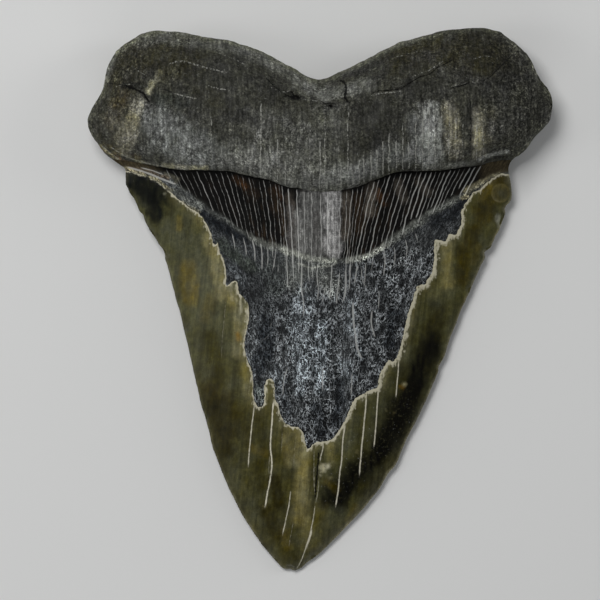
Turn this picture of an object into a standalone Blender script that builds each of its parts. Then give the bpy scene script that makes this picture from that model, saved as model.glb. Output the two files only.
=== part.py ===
"""Fossil megalodon tooth, one solid, lying on its flatter outer face.

Frame: +X across the tooth, +Y from the tip towards the root, +Z up out of
the bulging inner face. The origin is the centre of the bounding box's base.
Units are metres.
"""
import math

import bmesh
import bpy
import numpy as np

# ---------------------------------------------------------------- dimensions
UNIT = 0.26e-3            # one unit of the outline drawing below
ROOT_THICKNESS = 27.0e-3  # thickest point, in the middle of the root
CROWN_THICKNESS = 20.5e-3  # crown just below the root's lip, at the middle
LIP_STEP = 3.4e-3         # drop from the root's lip to the crown, at the middle
LIP_ROLL = 26.0           # how far up the root the lip's roll reaches, UNITs
BAND_HOLLOW = 0.8e-3      # how far the band below the lip is dished
RIM_FRONT = 9.5e-3        # rounding of the root's margin, inner face
RIM_BACK = 6.0e-3         # rounding of the root's margin, outer face
EDGE_SHARPNESS = 1.2      # 1 is a plain lens section, more is hollow ground
BACK_RISE = 2.4e-3        # how far the outer face lifts off between its rests

COLUMNS = 34              # cells across each face
ROWS_CROWN = 30           # cells from the tip to the band
ROWS_BAND = 4
ROWS_LIP = 1
ROWS_ROOT_LOW = 8
ROWS_ROOT_HIGH = 10

# The outline drawing: x to the right, y downwards, in UNITs. The curves run
# through these control points.
LEFT_CROWN = [            # left cutting edge, tip to root
    (286.9, 569.3), (277.2, 562.7), (269.6, 553.5), (260.4, 542.2),
    (251.7, 529.5), (243, 515.7), (234.4, 499.4), (225.7, 481), (219.6, 465.2),
    (213.5, 449.5), (210.3, 436.7), (205.7, 418.4), (200.6, 402),
    (194.5, 375.5), (189.9, 354), (185.3, 335.7), (180, 312.2),
    (173.8, 289.7), (169.7, 274.3), (165.5, 259.9), (163.3, 249.7),
    (154.8, 237.5), (147.9, 226.8), (143, 214.5), (137.2, 205),
    (130.3, 193.7), (126, 185.2), (125.8, 176), (124, 167.7)]
LEFT_BAND = [(124, 167.7), (121.4, 165.8), (119, 164)]
LEFT_LIP = [(119, 164), (115.5, 161.8), (112, 159.2)]
LEFT_LOBE_LOW = [
    (112, 159.2), (106, 154.6), (101, 148.5), (97, 142.7), (92.6, 136.8),
    (90, 132), (88, 125.6), (87.8, 119)]
LEFT_LOBE_HIGH = [
    (87.8, 119), (89.5, 113.9), (92, 108.5), (95, 103.2), (99, 96.8),
    (102, 91), (104, 85), (104.8, 79.7)]
RIGHT_CROWN = [           # right cutting edge, tip to root
    (295.5, 570.5), (301, 567.8), (310.6, 560), (318.4, 554.3),
    (330.4, 543.3), (340.5, 533), (351.4, 521.3), (359.6, 512.7),
    (366.7, 504.5), (373.9, 495.3), (381, 486), (388.2, 473.4),
    (395.3, 464.7), (401.5, 450.5), (408.2, 435.7), (415.3, 422.4),
    (421.4, 410.2), (427.6, 397), (432.7, 384.7), (437.8, 371.4),
    (443.9, 357), (451, 335.7), (456, 323.5), (460.9, 309.7),
    (468.4, 294), (474.3, 280), (480.7, 265.7), (484.6, 254),
    (490.3, 247), (495, 236.4), (500.9, 224.7), (505, 213),
    (507.5, 204.3), (511.6, 195), (510.5, 182), (508.6, 172)]
RIGHT_BAND = [(508.6, 172), (508.7, 169), (509.2, 166)]
RIGHT_LIP = [(509.2, 166), (510.1, 163.2), (512, 160.2)]
RIGHT_LOBE_LOW = [
    (512, 160.2), (515.2, 157.6), (520.5, 154.4), (525.9, 149.6),
    (530.1, 143.7), (535.5, 136.3), (541.3, 130.4), (546.1, 125.6),
    (549.9, 120.3)]
RIGHT_LOBE_HIGH = [
    (549.9, 120.3), (551.5, 113.9), (552.3, 106.4), (552, 99.5),
    (550.6, 94.7), (548.5, 89.9), (544, 84)]
TIP = [(286.9, 569.3), (291, 569.2), (295.5, 570.5)]
ROOT_MARGIN = [           # over the left lobe, down to the notch, right lobe
    (104.8, 79.7), (106.7, 70), (110, 62), (115, 53), (120, 47.7),
    (130, 40.8), (140, 34.4), (150, 31.5), (160, 30.5), (170, 31.5),
    (180, 32), (190, 33.7), (200, 36), (220, 39), (240, 44), (260, 50.8),
    (270, 55.5), (280, 61.2), (292, 67), (305, 75.5), (316, 79.3),
    (325, 78.6), (335, 74.2), (350, 67.5), (370, 57.4), (390, 47.2),
    (400, 42), (420, 36.6), (440, 31.2), (460, 29), (480, 28), (493, 30.1),
    (505, 35.5), (517.3, 45), (527.5, 54.7), (534.2, 66.9), (540, 78.7),
    (544, 84)]
BAND_LOWER = [            # lower edge of the band, a wide chevron
    (124, 167.7), (150, 170.5), (165, 175), (185, 190), (205, 205),
    (227, 218), (246, 233), (264, 245), (289, 251), (311, 257), (335, 258.5),
    (356, 258), (379, 248), (405, 229), (426, 213), (454, 199), (482, 183),
    (500, 174.5), (508.6, 172)]
LIP_FOOT = [              # where the root's lip meets the crown
    (119, 164), (130, 164.5), (150, 167.5), (170, 170.5), (200, 172.2),
    (228, 173.2), (250, 178), (270, 182.5), (285, 188.5), (300, 191),
    (320, 194.5), (340, 193), (360, 188.5), (380, 180.5), (400, 174),
    (430, 173), (460, 170), (480, 168.2), (500, 166.5), (509.2, 166)]
LIP_EDGE = [              # the lip's own edge
    (112, 159.2), (130, 161.5), (150, 165), (170, 168.2), (200, 170),
    (228, 171), (250, 175.8), (270, 180), (285, 186), (300, 188.4),
    (320, 191.8), (340, 190.5), (360, 186), (380, 178), (400, 171.5),
    (430, 170.6), (460, 167.5), (480, 165), (497, 161.5), (512, 160.2)]
ROOT_MIDDLE = [
    (87.8, 119), (130, 113), (190, 112), (260, 124), (320, 140),
    (380, 126), (450, 112), (510, 113), (549.9, 120.3)]
ORIGIN_DRAWING = (320.15, 299.2)

# Heights in millimetres above the resting face, against the drawing's y or x.
EDGE_HEIGHT = ([28, 110, 130, 150, 170, 200, 300, 400, 500, 572],
               [7.4, 7.2, 6.6, 5.5, 4.3, 3.3, 2.5, 2.1, 1.6, 0.9])
CROWN_CENTRE = ([150, 194, 225, 258, 300, 350, 400, 450, 500, 540, 572],
                [1.02, 1.0, 0.975, 0.935, 0.865, 0.755, 0.63, 0.49, 0.335,
                 0.195, 0.075])          # as a share of CROWN_THICKNESS
ROOT_RIDGE = ([88, 110, 150, 200, 260, 320, 380, 440, 490, 530, 552],
              [0.44, 0.56, 0.69, 0.815, 0.94, 1.0, 0.94, 0.83, 0.71, 0.57,
               0.45])                    # as a share of ROOT_THICKNESS
ROOT_SECTION = ([0.0, 0.15, 0.35, 0.6, 0.8, 0.92, 1.0],
                [0.925, 0.975, 1.0, 0.955, 0.83, 0.70, 0.60])
LIP_SHARE = ([112, 150, 220, 320, 420, 480, 512],
             [0.60, 0.75, 0.85, 1.0, 0.85, 0.75, 0.60])

# The outer face rests on three worn patches: centre and half axes, drawing.
RESTS = [((311, 372), (44, 92)), ((168, 108), (40, 27)), ((474, 104), (40, 27))]


# ------------------------------------------------------------------ curves
def smooth_curve(points, steps=12):
    """A curve through the points (cubic, tangents from the neighbours)."""
    p = np.array(points, dtype=float)
    ext = np.vstack([2 * p[0] - p[1], p, 2 * p[-1] - p[-2]])
    out = []
    for i in range(len(p) - 1):
        a, b, c, d = ext[i:i + 4]
        for k in range(steps):
            t = k / steps
            out.append(0.5 * ((2 * b) + (c - a) * t
                              + (2 * a - 5 * b + 4 * c - d) * t * t
                              + (3 * b - a - 3 * c + d) * t ** 3))
    out.append(p[-1])
    return np.array(out)


def along(curve, fraction):
    """Points at the given shares of the curve's length."""
    step = np.hypot(*np.diff(curve, axis=0).T)
    s = np.concatenate([[0], np.cumsum(step)]) / step.sum()
    f = np.clip(fraction, 0, 1)
    return np.stack([np.interp(f, s, curve[:, 0]),
                     np.interp(f, s, curve[:, 1])], axis=-1)


def across(curve, fraction):
    """Points at the given shares of the curve's width."""
    x = curve[0, 0] + (curve[-1, 0] - curve[0, 0]) * np.clip(fraction, 0, 1)
    return np.stack([x, np.interp(x, curve[:, 0], curve[:, 1])], axis=-1)


def eased(table, value):
    """A table read smoothly: cubic between its rows, no overshoot."""
    xs, ys = (np.array(c, dtype=float) for c in table)
    slope = np.diff(ys) / np.diff(xs)
    m = np.zeros(len(xs))
    m[0], m[-1] = slope[0], slope[-1]
    for i in range(1, len(xs) - 1):
        if slope[i - 1] * slope[i] > 0:
            m[i] = 2 * slope[i - 1] * slope[i] / (slope[i - 1] + slope[i])
    v = np.clip(value, xs[0], xs[-1])
    i = np.clip(np.searchsorted(xs, v, side="right") - 1, 0, len(xs) - 2)
    h = xs[i + 1] - xs[i]
    t = (v - xs[i]) / h
    return ((2 * t ** 3 - 3 * t ** 2 + 1) * ys[i] + (t ** 3 - 2 * t ** 2 + t)
            * h * m[i] + (-2 * t ** 3 + 3 * t ** 2) * ys[i + 1]
            + (t ** 3 - t ** 2) * h * m[i + 1])


# -------------------------------------------------------------- the outline
left_sides = [smooth_curve(c) for c in
              (LEFT_CROWN, LEFT_BAND, LEFT_LIP, LEFT_LOBE_LOW, LEFT_LOBE_HIGH)]
right_sides = [smooth_curve(c) for c in
               (RIGHT_CROWN, RIGHT_BAND, RIGHT_LIP, RIGHT_LOBE_LOW,
                RIGHT_LOBE_HIGH)]
sections = [smooth_curve(c) for c in
            (TIP, BAND_LOWER, LIP_FOOT, LIP_EDGE, ROOT_MIDDLE, ROOT_MARGIN)]
outline = np.vstack([np.vstack(left_sides), sections[-1],
                     np.vstack(right_sides)[::-1], sections[0][::-1]])
keep = np.concatenate([[True], np.hypot(*np.diff(outline, axis=0).T) > 1e-9])
outline = outline[keep]


def distance_to_outline(x, y):
    """Distance to the outline, in drawing units."""
    a = outline
    b = np.roll(outline, -1, axis=0)
    best = np.full(x.shape, np.inf)
    for (ax, ay), (bx, by) in zip(a, b):
        dx, dy = bx - ax, by - ay
        ll = dx * dx + dy * dy
        if ll < 1e-12:
            continue
        t = np.clip(((x - ax) * dx + (y - ay) * dy) / ll, 0, 1)
        best = np.minimum(best, np.hypot(x - ax - t * dx, y - ay - t * dy))
    return best


def crown_side(sides):
    """The side's x against the drawing's y, from the lobe down to the tip."""
    c = np.vstack(sides[:4])
    order = np.argsort(c[:, 1], kind="stable")
    return c[order, 1], c[order, 0]


left_side, right_side = crown_side(left_sides), crown_side(right_sides)
lower_margin = np.vstack([left_sides[3][::-1], sections[3], right_sides[3]])
lower_margin = lower_margin[np.argsort(lower_margin[:, 0], kind="stable")]
upper_margin = np.vstack([left_sides[4], sections[5], right_sides[4][::-1]])
upper_margin = upper_margin[np.argsort(upper_margin[:, 0], kind="stable")]
band_lower = sections[1]
lip_foot = sections[2]
lip_edge = sections[3]


# --------------------------------------------------------------- the heights
def smoothstep(a, b, v):
    t = np.clip((v - a) / (b - a), 0, 1)
    return t * t * (3 - 2 * t)


def span(y, x):
    """-1 on the left cutting edge, 1 on the right one."""
    xl = np.interp(y, *left_side)
    xr = np.interp(y, *right_side)
    return np.clip((2 * x - xl - xr) / np.maximum(xr - xl, 1e-6), -1, 1)


def crown_front(x, y):
    """Height of the crown's inner face, in metres."""
    edge = eased(EDGE_HEIGHT, y) * 1e-3
    top = eased(CROWN_CENTRE, y) * CROWN_THICKNESS
    z = edge + (top - edge) * (1 - span(y, x) ** 2) ** EDGE_SHARPNESS
    y0 = np.interp(x, band_lower[:, 0], band_lower[:, 1])
    y1 = np.interp(x, lip_foot[:, 0], lip_foot[:, 1])
    t = np.clip((y0 - y) / np.maximum(y0 - y1, 1.0), 0, 1)
    inside = smoothstep(2, 30, y0 - y1)
    return z - BAND_HOLLOW * inside * 4 * t * (1 - t)


def root_front(x, y, d):
    """Height of the root's inner face, in metres; d from the outline."""
    edge = eased(EDGE_HEIGHT, y) * 1e-3
    low = np.interp(x, lower_margin[:, 0], lower_margin[:, 1])
    high = np.interp(x, upper_margin[:, 0], upper_margin[:, 1])
    w = np.clip((low - y) / np.maximum(low - high, 1.0), 0, 1)
    ridge = eased(ROOT_RIDGE, x) * ROOT_THICKNESS
    body = ridge * eased(ROOT_SECTION, w)
    # the lip stands a set height above the crown below it
    foot = np.interp(x, lip_edge[:, 0], lip_edge[:, 1])
    lip = crown_front(x, foot + 2.5) + eased(LIP_SHARE, x) * LIP_STEP
    near = (1 - np.clip((foot - y) / LIP_ROLL, 0, 1)) ** 2.2
    body = body + (lip - body) * near
    t = np.clip(d * UNIT / RIM_FRONT, 0, 1)
    return edge + (body - edge) * np.sqrt(1 - (1 - t) ** 2)


def back(x, y, d):
    """Height of the outer face, in metres: flat where it rests."""
    edge = eased(EDGE_HEIGHT, y) * 1e-3
    lift = np.ones_like(x)
    for (cx, cy), (ax, ay) in RESTS:
        q = np.hypot((x - cx) / ax, (y - cy) / ay)
        rise = np.maximum(q - 1, 0) ** 2
        lift = lift * (rise / (rise + 0.9))
    lift = np.where(lift > 1e-9, lift * BACK_RISE, 0.0)
    lift = np.minimum(lift, edge * 0.9)
    blade = 1 - np.abs(span(y, x)) ** 3.2
    t = np.clip(d * UNIT / RIM_BACK, 0, 1)
    lobe = np.sqrt(1 - (1 - t) ** 2)
    mix = smoothstep(195, 150, y)
    return edge - (edge - lift) * (blade + (lobe - blade) * mix)


# ----------------------------------------------------------- grid to tooth
def section_shares():
    """For each row: which pair of sections it lies between, and where."""
    rows = []
    counts = [ROWS_CROWN, ROWS_BAND, ROWS_LIP, ROWS_ROOT_LOW, ROWS_ROOT_HIGH]
    for k, n in enumerate(counts):
        for j in range(n):
            t = j / n
            if k == 4:                       # finer towards the rounded margin
                t = 1 - (1 - t) ** 1.5
            rows.append((k, t))
    rows.append((len(counts) - 1, 1.0))
    return rows


def sheet_points():
    """Drawing coordinates of the grid, and which rows belong to the root."""
    plain = np.linspace(0, 1, COLUMNS + 1)
    bunched = 0.5 - 0.5 * np.cos(math.pi * plain)
    pts, root = [], []
    for k, t in section_shares():
        level = k + t
        ease = 0.62 * smoothstep(0.6, 2.5, np.array(level))
        u = plain + (bunched - plain) * ease
        pick = [across] * 5 + [along]
        lo, hi = pick[k](sections[k], u), pick[k + 1](sections[k + 1], u)
        row = lo + (hi - lo) * t
        left = along(left_sides[k], np.array([t]))[0]
        right = along(right_sides[k], np.array([t]))[0]
        fix_l, fix_r = left - row[0], right - row[-1]
        row = row + np.outer(1 - u, fix_l) + np.outer(u, fix_r)
        pts.append(row)
        root.append(k >= 3 or (k == 2 and t > 0.5))
    return np.array(pts), np.array(root)


def build_tooth():
    pts, root = sheet_points()
    n_rows, n_cols = pts.shape[:2]
    x, y = pts[..., 0], pts[..., 1]
    d = distance_to_outline(x, y)
    rim = np.zeros((n_rows, n_cols), dtype=bool)
    rim[0] = rim[-1] = True
    rim[:, 0] = rim[:, -1] = True
    d[rim] = 0.0
    edge = eased(EDGE_HEIGHT, y) * 1e-3
    front = np.where(root[:, None], root_front(x, y, d), crown_front(x, y))
    rear = back(x, y, d)
    front[rim] = rear[rim] = edge[rim]
    thin = ~rim & (front - rear < 0.15e-3)
    mid = 0.5 * (front + rear)
    front[thin] = mid[thin] + 0.075e-3
    rear[thin] = mid[thin] - 0.075e-3
    wx = (x - ORIGIN_DRAWING[0]) * UNIT
    wy = (ORIGIN_DRAWING[1] - y) * UNIT
    wx -= 0.5 * (wx.min() + wx.max())
    wy -= 0.5 * (wy.min() + wy.max())

    bm = bmesh.new()
    for side, z in (("front", front), ("back", rear)):
        made = bmesh.ops.create_grid(bm, x_segments=n_cols - 1,
                                     y_segments=n_rows - 1, size=0.5)
        for v in made["verts"]:
            i = int(round((v.co.y + 0.5) * (n_rows - 1)))
            j = int(round((v.co.x + 0.5) * (n_cols - 1)))
            v.co = (wx[i, j], wy[i, j], z[i, j])
        if side == "back":
            faces = list({f for v in made["verts"] for f in v.link_faces})
            bmesh.ops.reverse_faces(bm, faces=faces)
    rim_verts = [v for v in bm.verts if v.is_boundary]
    bmesh.ops.remove_doubles(bm, verts=rim_verts, dist=1e-7)
    bmesh.ops.triangulate(bm, faces=bm.faces[:], quad_method="SHORT_EDGE")
    mesh = bpy.data.meshes.new("tooth")
    bm.to_mesh(mesh)
    bm.free()
    mesh.shade_smooth()
    mesh.set_sharp_from_angle(angle=math.radians(38))
    return mesh


# -------------------------------------------------------------------- scene
for obj in list(bpy.data.objects):
    bpy.data.objects.remove(obj, do_unlink=True)

collection = bpy.data.collections.new("megalodon_tooth")
bpy.context.scene.collection.children.link(collection)

material = bpy.data.materials.new("fossil")
material.use_nodes = True
shader = material.node_tree.nodes["Principled BSDF"]
shader.inputs["Base Color"].default_value = (0.062, 0.060, 0.045, 1.0)
shader.inputs["Roughness"].default_value = 0.5
shader.inputs["Metallic"].default_value = 0.0

tooth = bpy.data.objects.new("tooth", build_tooth())
tooth.data.materials.append(material)
collection.objects.link(tooth)
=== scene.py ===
import math

import bpy
import numpy as np
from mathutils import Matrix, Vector
from mathutils.geometry import delaunay_2d_cdt
from mathutils.kdtree import KDTree


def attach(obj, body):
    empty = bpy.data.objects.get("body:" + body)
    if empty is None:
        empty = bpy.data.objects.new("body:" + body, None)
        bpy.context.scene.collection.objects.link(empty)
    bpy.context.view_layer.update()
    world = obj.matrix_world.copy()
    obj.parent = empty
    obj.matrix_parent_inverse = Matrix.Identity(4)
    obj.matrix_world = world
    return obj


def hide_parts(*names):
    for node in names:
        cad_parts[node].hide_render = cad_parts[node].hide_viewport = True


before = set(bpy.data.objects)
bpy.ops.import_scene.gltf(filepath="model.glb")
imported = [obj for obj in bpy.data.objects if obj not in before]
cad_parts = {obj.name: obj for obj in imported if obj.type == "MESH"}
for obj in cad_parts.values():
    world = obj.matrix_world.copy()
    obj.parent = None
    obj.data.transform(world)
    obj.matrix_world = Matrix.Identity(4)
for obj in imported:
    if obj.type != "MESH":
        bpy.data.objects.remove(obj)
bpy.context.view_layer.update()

# =====================================================================
# The tooth is laid out on a drawing, x to the right and y downwards, of
# which one unit is 0.26 mm. The curves run through listed points.
# =====================================================================
UNIT = 0.26e-3
MIDDLE = (320.15, 299.2)       # the drawing's point that lies at X = Y = 0
VIEW_CENTRE = (300.0, 300.0)   # the drawing's point under the camera
LENS = 300.0
VIEW_DISTANCE = 600 * UNIT * LENS / 36.0
VIEW_PLANE = 5.0e-3            # height at which one unit is UNIT wide

ROOT_THICKNESS = 27.0e-3
CROWN_THICKNESS = 20.5e-3
LIP_STEP = 3.4e-3
LIP_ROLL = 26.0
BAND_HOLLOW = 0.8e-3
RIM_FRONT = 9.5e-3
RIM_BACK = 6.0e-3
EDGE_SHARPNESS = 1.2
BACK_RISE = 2.4e-3
ENAMEL = 0.42e-3               # thickness of the enamel where it has peeled
EDGE_HALF = 0.11e-3            # half the blunt face of the worn cutting edge

LEFT_CROWN = [
    (286.9, 569.3), (282.9, 567.8), (277.2, 562.7), (269.6, 553.5),
    (260.4, 542.2), (251.7, 529.5), (243, 515.7), (234.4, 499.4),
    (225.7, 481), (219.6, 465.2), (213.5, 449.5), (210.3, 436.7),
    (205.7, 418.4), (200.6, 402), (194.5, 375.5), (189.9, 354),
    (185.3, 335.7), (180, 312.2), (176.3, 300.4), (173.8, 289.7),
    (171.9, 282.3), (169.7, 274.3), (168, 267.3), (165.5, 259.9),
    (165, 254), (163.3, 249.7), (159, 244.4), (154.8, 237.5),
    (151, 232), (147.9, 226.8), (145.2, 221), (143, 214.5), (139.9, 211.3),
    (137.2, 205), (134, 198.5), (130.3, 193.7), (128.1, 188.9),
    (126, 185.2), (125.6, 178.8), (125.6, 171)]
LEFT_BAND = [(125.6, 171), (124, 167.7), (118, 163.5), (112, 159.2)]
LEFT_LOBE = [
    (112, 159.2), (106, 154.6), (101, 148.5), (97, 142.7), (92.6, 136.8),
    (90, 132), (88, 125.6), (87.8, 120), (89.5, 113.9), (92, 108.5),
    (95, 103.2), (99, 96.8), (102, 91), (104, 85), (104.8, 79.7)]
RIGHT_CROWN = [
    (295.5, 570.5), (301, 567.8), (306.3, 562.7), (310.6, 560),
    (318.4, 554.3), (330.4, 543.3), (340.5, 533), (351.4, 521.3),
    (359.6, 512.7), (366.7, 504.5), (373.9, 495.3), (381, 486),
    (388.2, 473.4), (395.3, 464.7), (401.5, 450.5), (408.2, 435.7),
    (415.3, 422.4), (421.4, 410.2), (427.6, 397), (432.7, 384.7),
    (437.8, 372.4), (438.8, 366.3), (443.9, 357), (446.9, 348),
    (451, 335.7), (456, 323.5), (460.9, 309.7), (464.7, 302.5),
    (468.4, 294), (470, 290.8), (471.6, 286.5), (474.3, 280),
    (477.5, 272.7), (480.7, 265.7), (483.9, 259.9), (484.9, 256.7),
    (484.4, 252.9), (486, 250.9), (490.3, 247.6), (492.4, 242.8),
    (495, 236.4), (498.3, 231), (500.9, 224.7), (503.6, 218.8),
    (505.2, 213.8), (504.9, 208.7), (506.8, 204.9), (510, 201.7),
    (511.6, 196.9), (511.6, 190.5), (510.5, 182), (508.9, 174.5)]
RIGHT_BAND = [(508.9, 174.5), (508.4, 169.2), (509.6, 164), (512, 160.2)]
RIGHT_LOBE = [
    (512, 160.2), (515.2, 157.6), (520.5, 154.4), (525.9, 149.6),
    (530.1, 143.7), (535.5, 136.3), (541.3, 130.4), (546.1, 125.6),
    (549.9, 120.3), (551.5, 113.9), (552.3, 106.4), (552, 99.5),
    (550.6, 94.7), (548.5, 89.9), (544, 84)]
TIP = [(286.9, 569.3), (289.2, 568.9), (291, 569.2), (293.2, 570.3),
       (295.5, 570.5)]
ROOT_MARGIN = [
    (104.8, 79.7), (106.7, 70), (110, 62), (115, 53), (120, 47.7),
    (125, 44), (130, 40.8), (135, 37.6), (140, 34.4), (150, 31.5),
    (155, 30.5), (160, 30.5), (170, 31.5), (180, 32), (190, 33.7),
    (200, 36), (210, 37.6), (220, 39), (230, 40.5), (240, 44), (250, 47),
    (260, 50.8), (270, 55.5), (280, 61.2), (287, 65.3), (292, 67),
    (300, 72.2), (305, 75.5), (311, 78), (316, 79.3), (320, 79.5),
    (325, 78.6), (330, 76.7), (335, 74.2), (340, 71.7), (350, 67.5),
    (360, 62.2), (370, 57.4), (380, 51.7), (390, 47.2), (400, 42),
    (410, 39.8), (420, 36.6), (430, 34.4), (440, 31.2), (450, 29.8),
    (460, 29), (470, 28), (480, 28), (487, 28.5), (493, 30.1),
    (500, 31.7), (505, 35.5), (511.5, 40.3), (517.3, 45), (522.7, 49.9),
    (527.5, 54.7), (531.2, 60.5), (534.2, 66.9), (537, 73.3),
    (540, 78.7), (544, 84)]
LIP = [
    (112, 159.2), (120, 160.2), (130, 161.5), (140, 163), (150, 165),
    (160, 167), (170, 168.2), (180, 169.6), (200, 170), (228, 171),
    (240, 173.6), (250, 175.8), (260, 178), (270, 180), (277, 183),
    (285, 186), (290, 187.5), (300, 188.4), (310, 190.8), (320, 191.8),
    (330, 191.5), (340, 190.5), (352, 188), (360, 186), (370, 181.5),
    (380, 178), (390, 174), (400, 171.5), (420, 171), (440, 170.3),
    (460, 167.5), (470, 166.5), (480, 165), (490, 162.3), (500, 160.6),
    (512, 160.2)]
BAND_LOWER = [
    (124, 167.7), (150, 170.5), (165, 175), (175, 182), (185, 190.5),
    (197, 199.5), (205, 205.5), (211, 210), (227, 219), (238, 228),
    (254, 238), (264, 245), (281, 248.5), (289, 250.5), (298, 255),
    (311, 258), (335, 258.5), (347, 260), (358, 258.5), (370, 254),
    (379, 248), (390, 240), (405, 229), (419, 220), (426, 213.5),
    (440, 206.5), (454, 199.5), (468, 190.5), (482, 182.5),
    (496, 175), (508.6, 172)]
PEEL = [
    (125.6, 171), (133, 172.6), (145, 176), (157, 182), (168, 190),
    (178, 199), (185, 204), (190, 208), (197, 212), (203, 218), (205, 222),
    (208, 226), (210, 231), (212, 238), (213, 243), (216, 245), (218, 242),
    (219, 250), (221, 255), (223, 259), (225, 266), (226, 272), (226, 284),
    (228, 285), (231, 283), (234, 281), (237, 282), (238, 287), (239, 293),
    (243, 297), (246, 301), (248.6, 306), (249, 318), (246.5, 330.6),
    (244.5, 340.8), (245, 350), (247.6, 361), (251.6, 370.4),
    (253, 381.6), (253, 391.8), (254.2, 400), (256.7, 405.6),
    (259.8, 407), (263.4, 405), (264.4, 398), (264.4, 386.7), (266.4, 381),
    (270.5, 378.6), (273.6, 381.6), (274.6, 388.8), (275, 398), (278, 405),
    (281, 416.3), (284.5, 422), (287.3, 424.5), (292.4, 426.5),
    (298.6, 427.5), (302.7, 431.6), (304.7, 439.8), (307, 448.5),
    (310.5, 447), (314, 443.3), (318, 441.5), (322.4, 441.8), (332.7, 438.8),
    (337.8, 431.6), (342.9, 424.5), (347, 416.3), (351, 406), (355, 399),
    (363.3, 393.9), (371.4, 389.8), (377.4, 386.7), (379.0, 378.6),
    (381.6, 370.4), (385.7, 364.3), (388.8, 360.2), (392.9, 361.2),
    (395.9, 358.2), (399, 352), (402, 340.8), (405, 326.5),
    (408.2, 313.3), (412.4, 301.5), (414, 294), (416, 290.8),
    (416.7, 286.5), (421, 284.6), (425.7, 284.4), (426.8, 280),
    (430.5, 275.9), (432.7, 268.4), (434.3, 258.8), (433.7, 249.2),
    (434.3, 243.9), (435.9, 239.6), (441.2, 240.7), (445.5, 241.2),
    (447.6, 236.9), (450.3, 233.7), (455.6, 234.8), (458.3, 230),
    (460.9, 224.7), (461.7, 218.3), (460.9, 211.3), (463.6, 208),
    (464.7, 204.4), (468.9, 199), (473.2, 192.7), (479.6, 189.5),
    (484.9, 184.5), (490.3, 179.8), (496.7, 175.6), (502, 173.2),
    (508.9, 174.5)]

# heights, as in the solid: share or millimetres against the drawing
EDGE_HEIGHT = ([28, 110, 130, 150, 170, 200, 300, 400, 500, 572],
               [7.4, 7.2, 6.6, 5.5, 4.3, 3.3, 2.5, 2.1, 1.6, 0.9])
CROWN_CENTRE = ([150, 194, 225, 258, 300, 350, 400, 450, 500, 540, 572],
                [1.02, 1.0, 0.975, 0.935, 0.865, 0.755, 0.63, 0.49, 0.335,
                 0.195, 0.075])
ROOT_RIDGE = ([88, 110, 150, 200, 260, 320, 380, 440, 490, 530, 552],
              [0.44, 0.56, 0.69, 0.815, 0.94, 1.0, 0.94, 0.83, 0.71, 0.57,
               0.45])
ROOT_SECTION = ([0.0, 0.15, 0.35, 0.6, 0.8, 0.92, 1.0],
                [0.925, 0.975, 1.0, 0.955, 0.83, 0.70, 0.60])
LIP_SHARE = ([112, 150, 200, 240, 262, 285, 310, 335, 352, 370, 395, 430, 480,
              512],
             [0.45, 0.75, 0.86, 0.66, 0.38, 0.14, 0.05, 0.05, 0.10, 0.22, 0.46,
              0.76, 0.72, 0.45])
RESTS = [((311, 372), (44, 92)), ((168, 108), (40, 27)), ((474, 104), (40, 27))]

# Thin pale lines of the band under the root: where each leaves the lip.
STRIA = [160, 165.5, 172, 178.5, 184, 190.5, 196, 202.5, 208, 214.5,
         220, 226, 231, 237, 241.5, 248, 252, 258.5, 263.5, 269, 275, 278.5,
         281.5, 288, 296.5, 304, 311.5, 321, 328, 341, 347, 353, 358, 363.5, 369,
         375, 380, 386, 391, 396.5, 402, 407, 412, 417.5, 422, 427, 432,
         436.5, 441.5, 446, 451.5, 456, 461, 466, 471, 476, 482]

# Cracks of the enamel: points from the top, half width, brightness.
CRACKS = [
    ([(254.7, 403), (253.6, 412), (251.6, 427.5), (250.4, 440),
      (249.6, 448), (248.8, 458), (248.2, 467.8)], 0.85, 0.8),
    ([(273.8, 400), (272.6, 411), (272, 422.4), (270.8, 437), (270.5, 448),
      (271.6, 458), (271.8, 466), (271, 474), (269.4, 484), (267.4, 493),
      (266, 502), (265, 508)], 1.0, 0.95),
    ([(270.0, 455), (269.1, 462), (268.8, 469), (269.6, 477)], 0.6, 0.45),
    ([(282.3, 430), (282, 442), (281.3, 453.5)], 0.8, 0.3),
    ([(296.3, 434), (295, 446), (294.2, 458), (293.4, 470)], 0.7, 0.22),
    ([(290.8, 491), (289.6, 500), (288.5, 507.6), (286.6, 516), (285, 524),
      (283.6, 530), (282.2, 536)], 0.8, 0.75),
    ([(293.4, 519), (292, 529), (290, 540), (288.6, 549)], 0.7, 0.3),
    ([(323.4, 442), (322.8, 449), (320.9, 456), (319.9, 463)], 0.9, 0.75),
    ([(318.9, 478), (318.4, 487), (317.2, 496), (315, 505)], 0.7, 0.45),
    ([(314.2, 450), (314.0, 462), (314.0, 474), (314.2, 485),
      (315.2, 495)], 0.7, 0.42),
    ([(315, 505), (314.2, 512), (313.2, 519), (311.6, 527), (309.4, 536),
      (306.6, 545), (303.4, 555), (300, 563), (296.4, 569)], 0.8, 0.72),
    ([(311.8, 529), (309.8, 536), (307.4, 543), (305.6, 549)], 1.55, 1.05),
    ([(345.6, 424.5), (344.2, 431), (342.8, 441), (342.2, 452),
      (341.6, 461), (340.2, 470), (339.2, 479), (338.4, 489),
      (337, 498), (335.4, 508)], 0.9, 0.95),
    ([(366.4, 396), (365.6, 408), (364.4, 420), (363.2, 433),
      (361.8, 446), (361, 456), (360, 466), (359.4, 476)], 0.95, 0.95),
    ([(378.4, 389), (377.6, 400), (376.8, 412), (376, 424), (375, 436),
      (373.9, 447.5)], 0.85, 0.95),
    ([(398.6, 359), (398.2, 371), (397, 384), (396, 398)], 0.8, 0.9),
    ([(225.6, 300), (224.8, 312), (223.6, 325), (222.2, 338),
      (221.6, 349), (221.5, 358)], 0.7, 0.26),
    ([(239.5, 299), (240.4, 310)], 0.6, 0.35),
]
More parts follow.
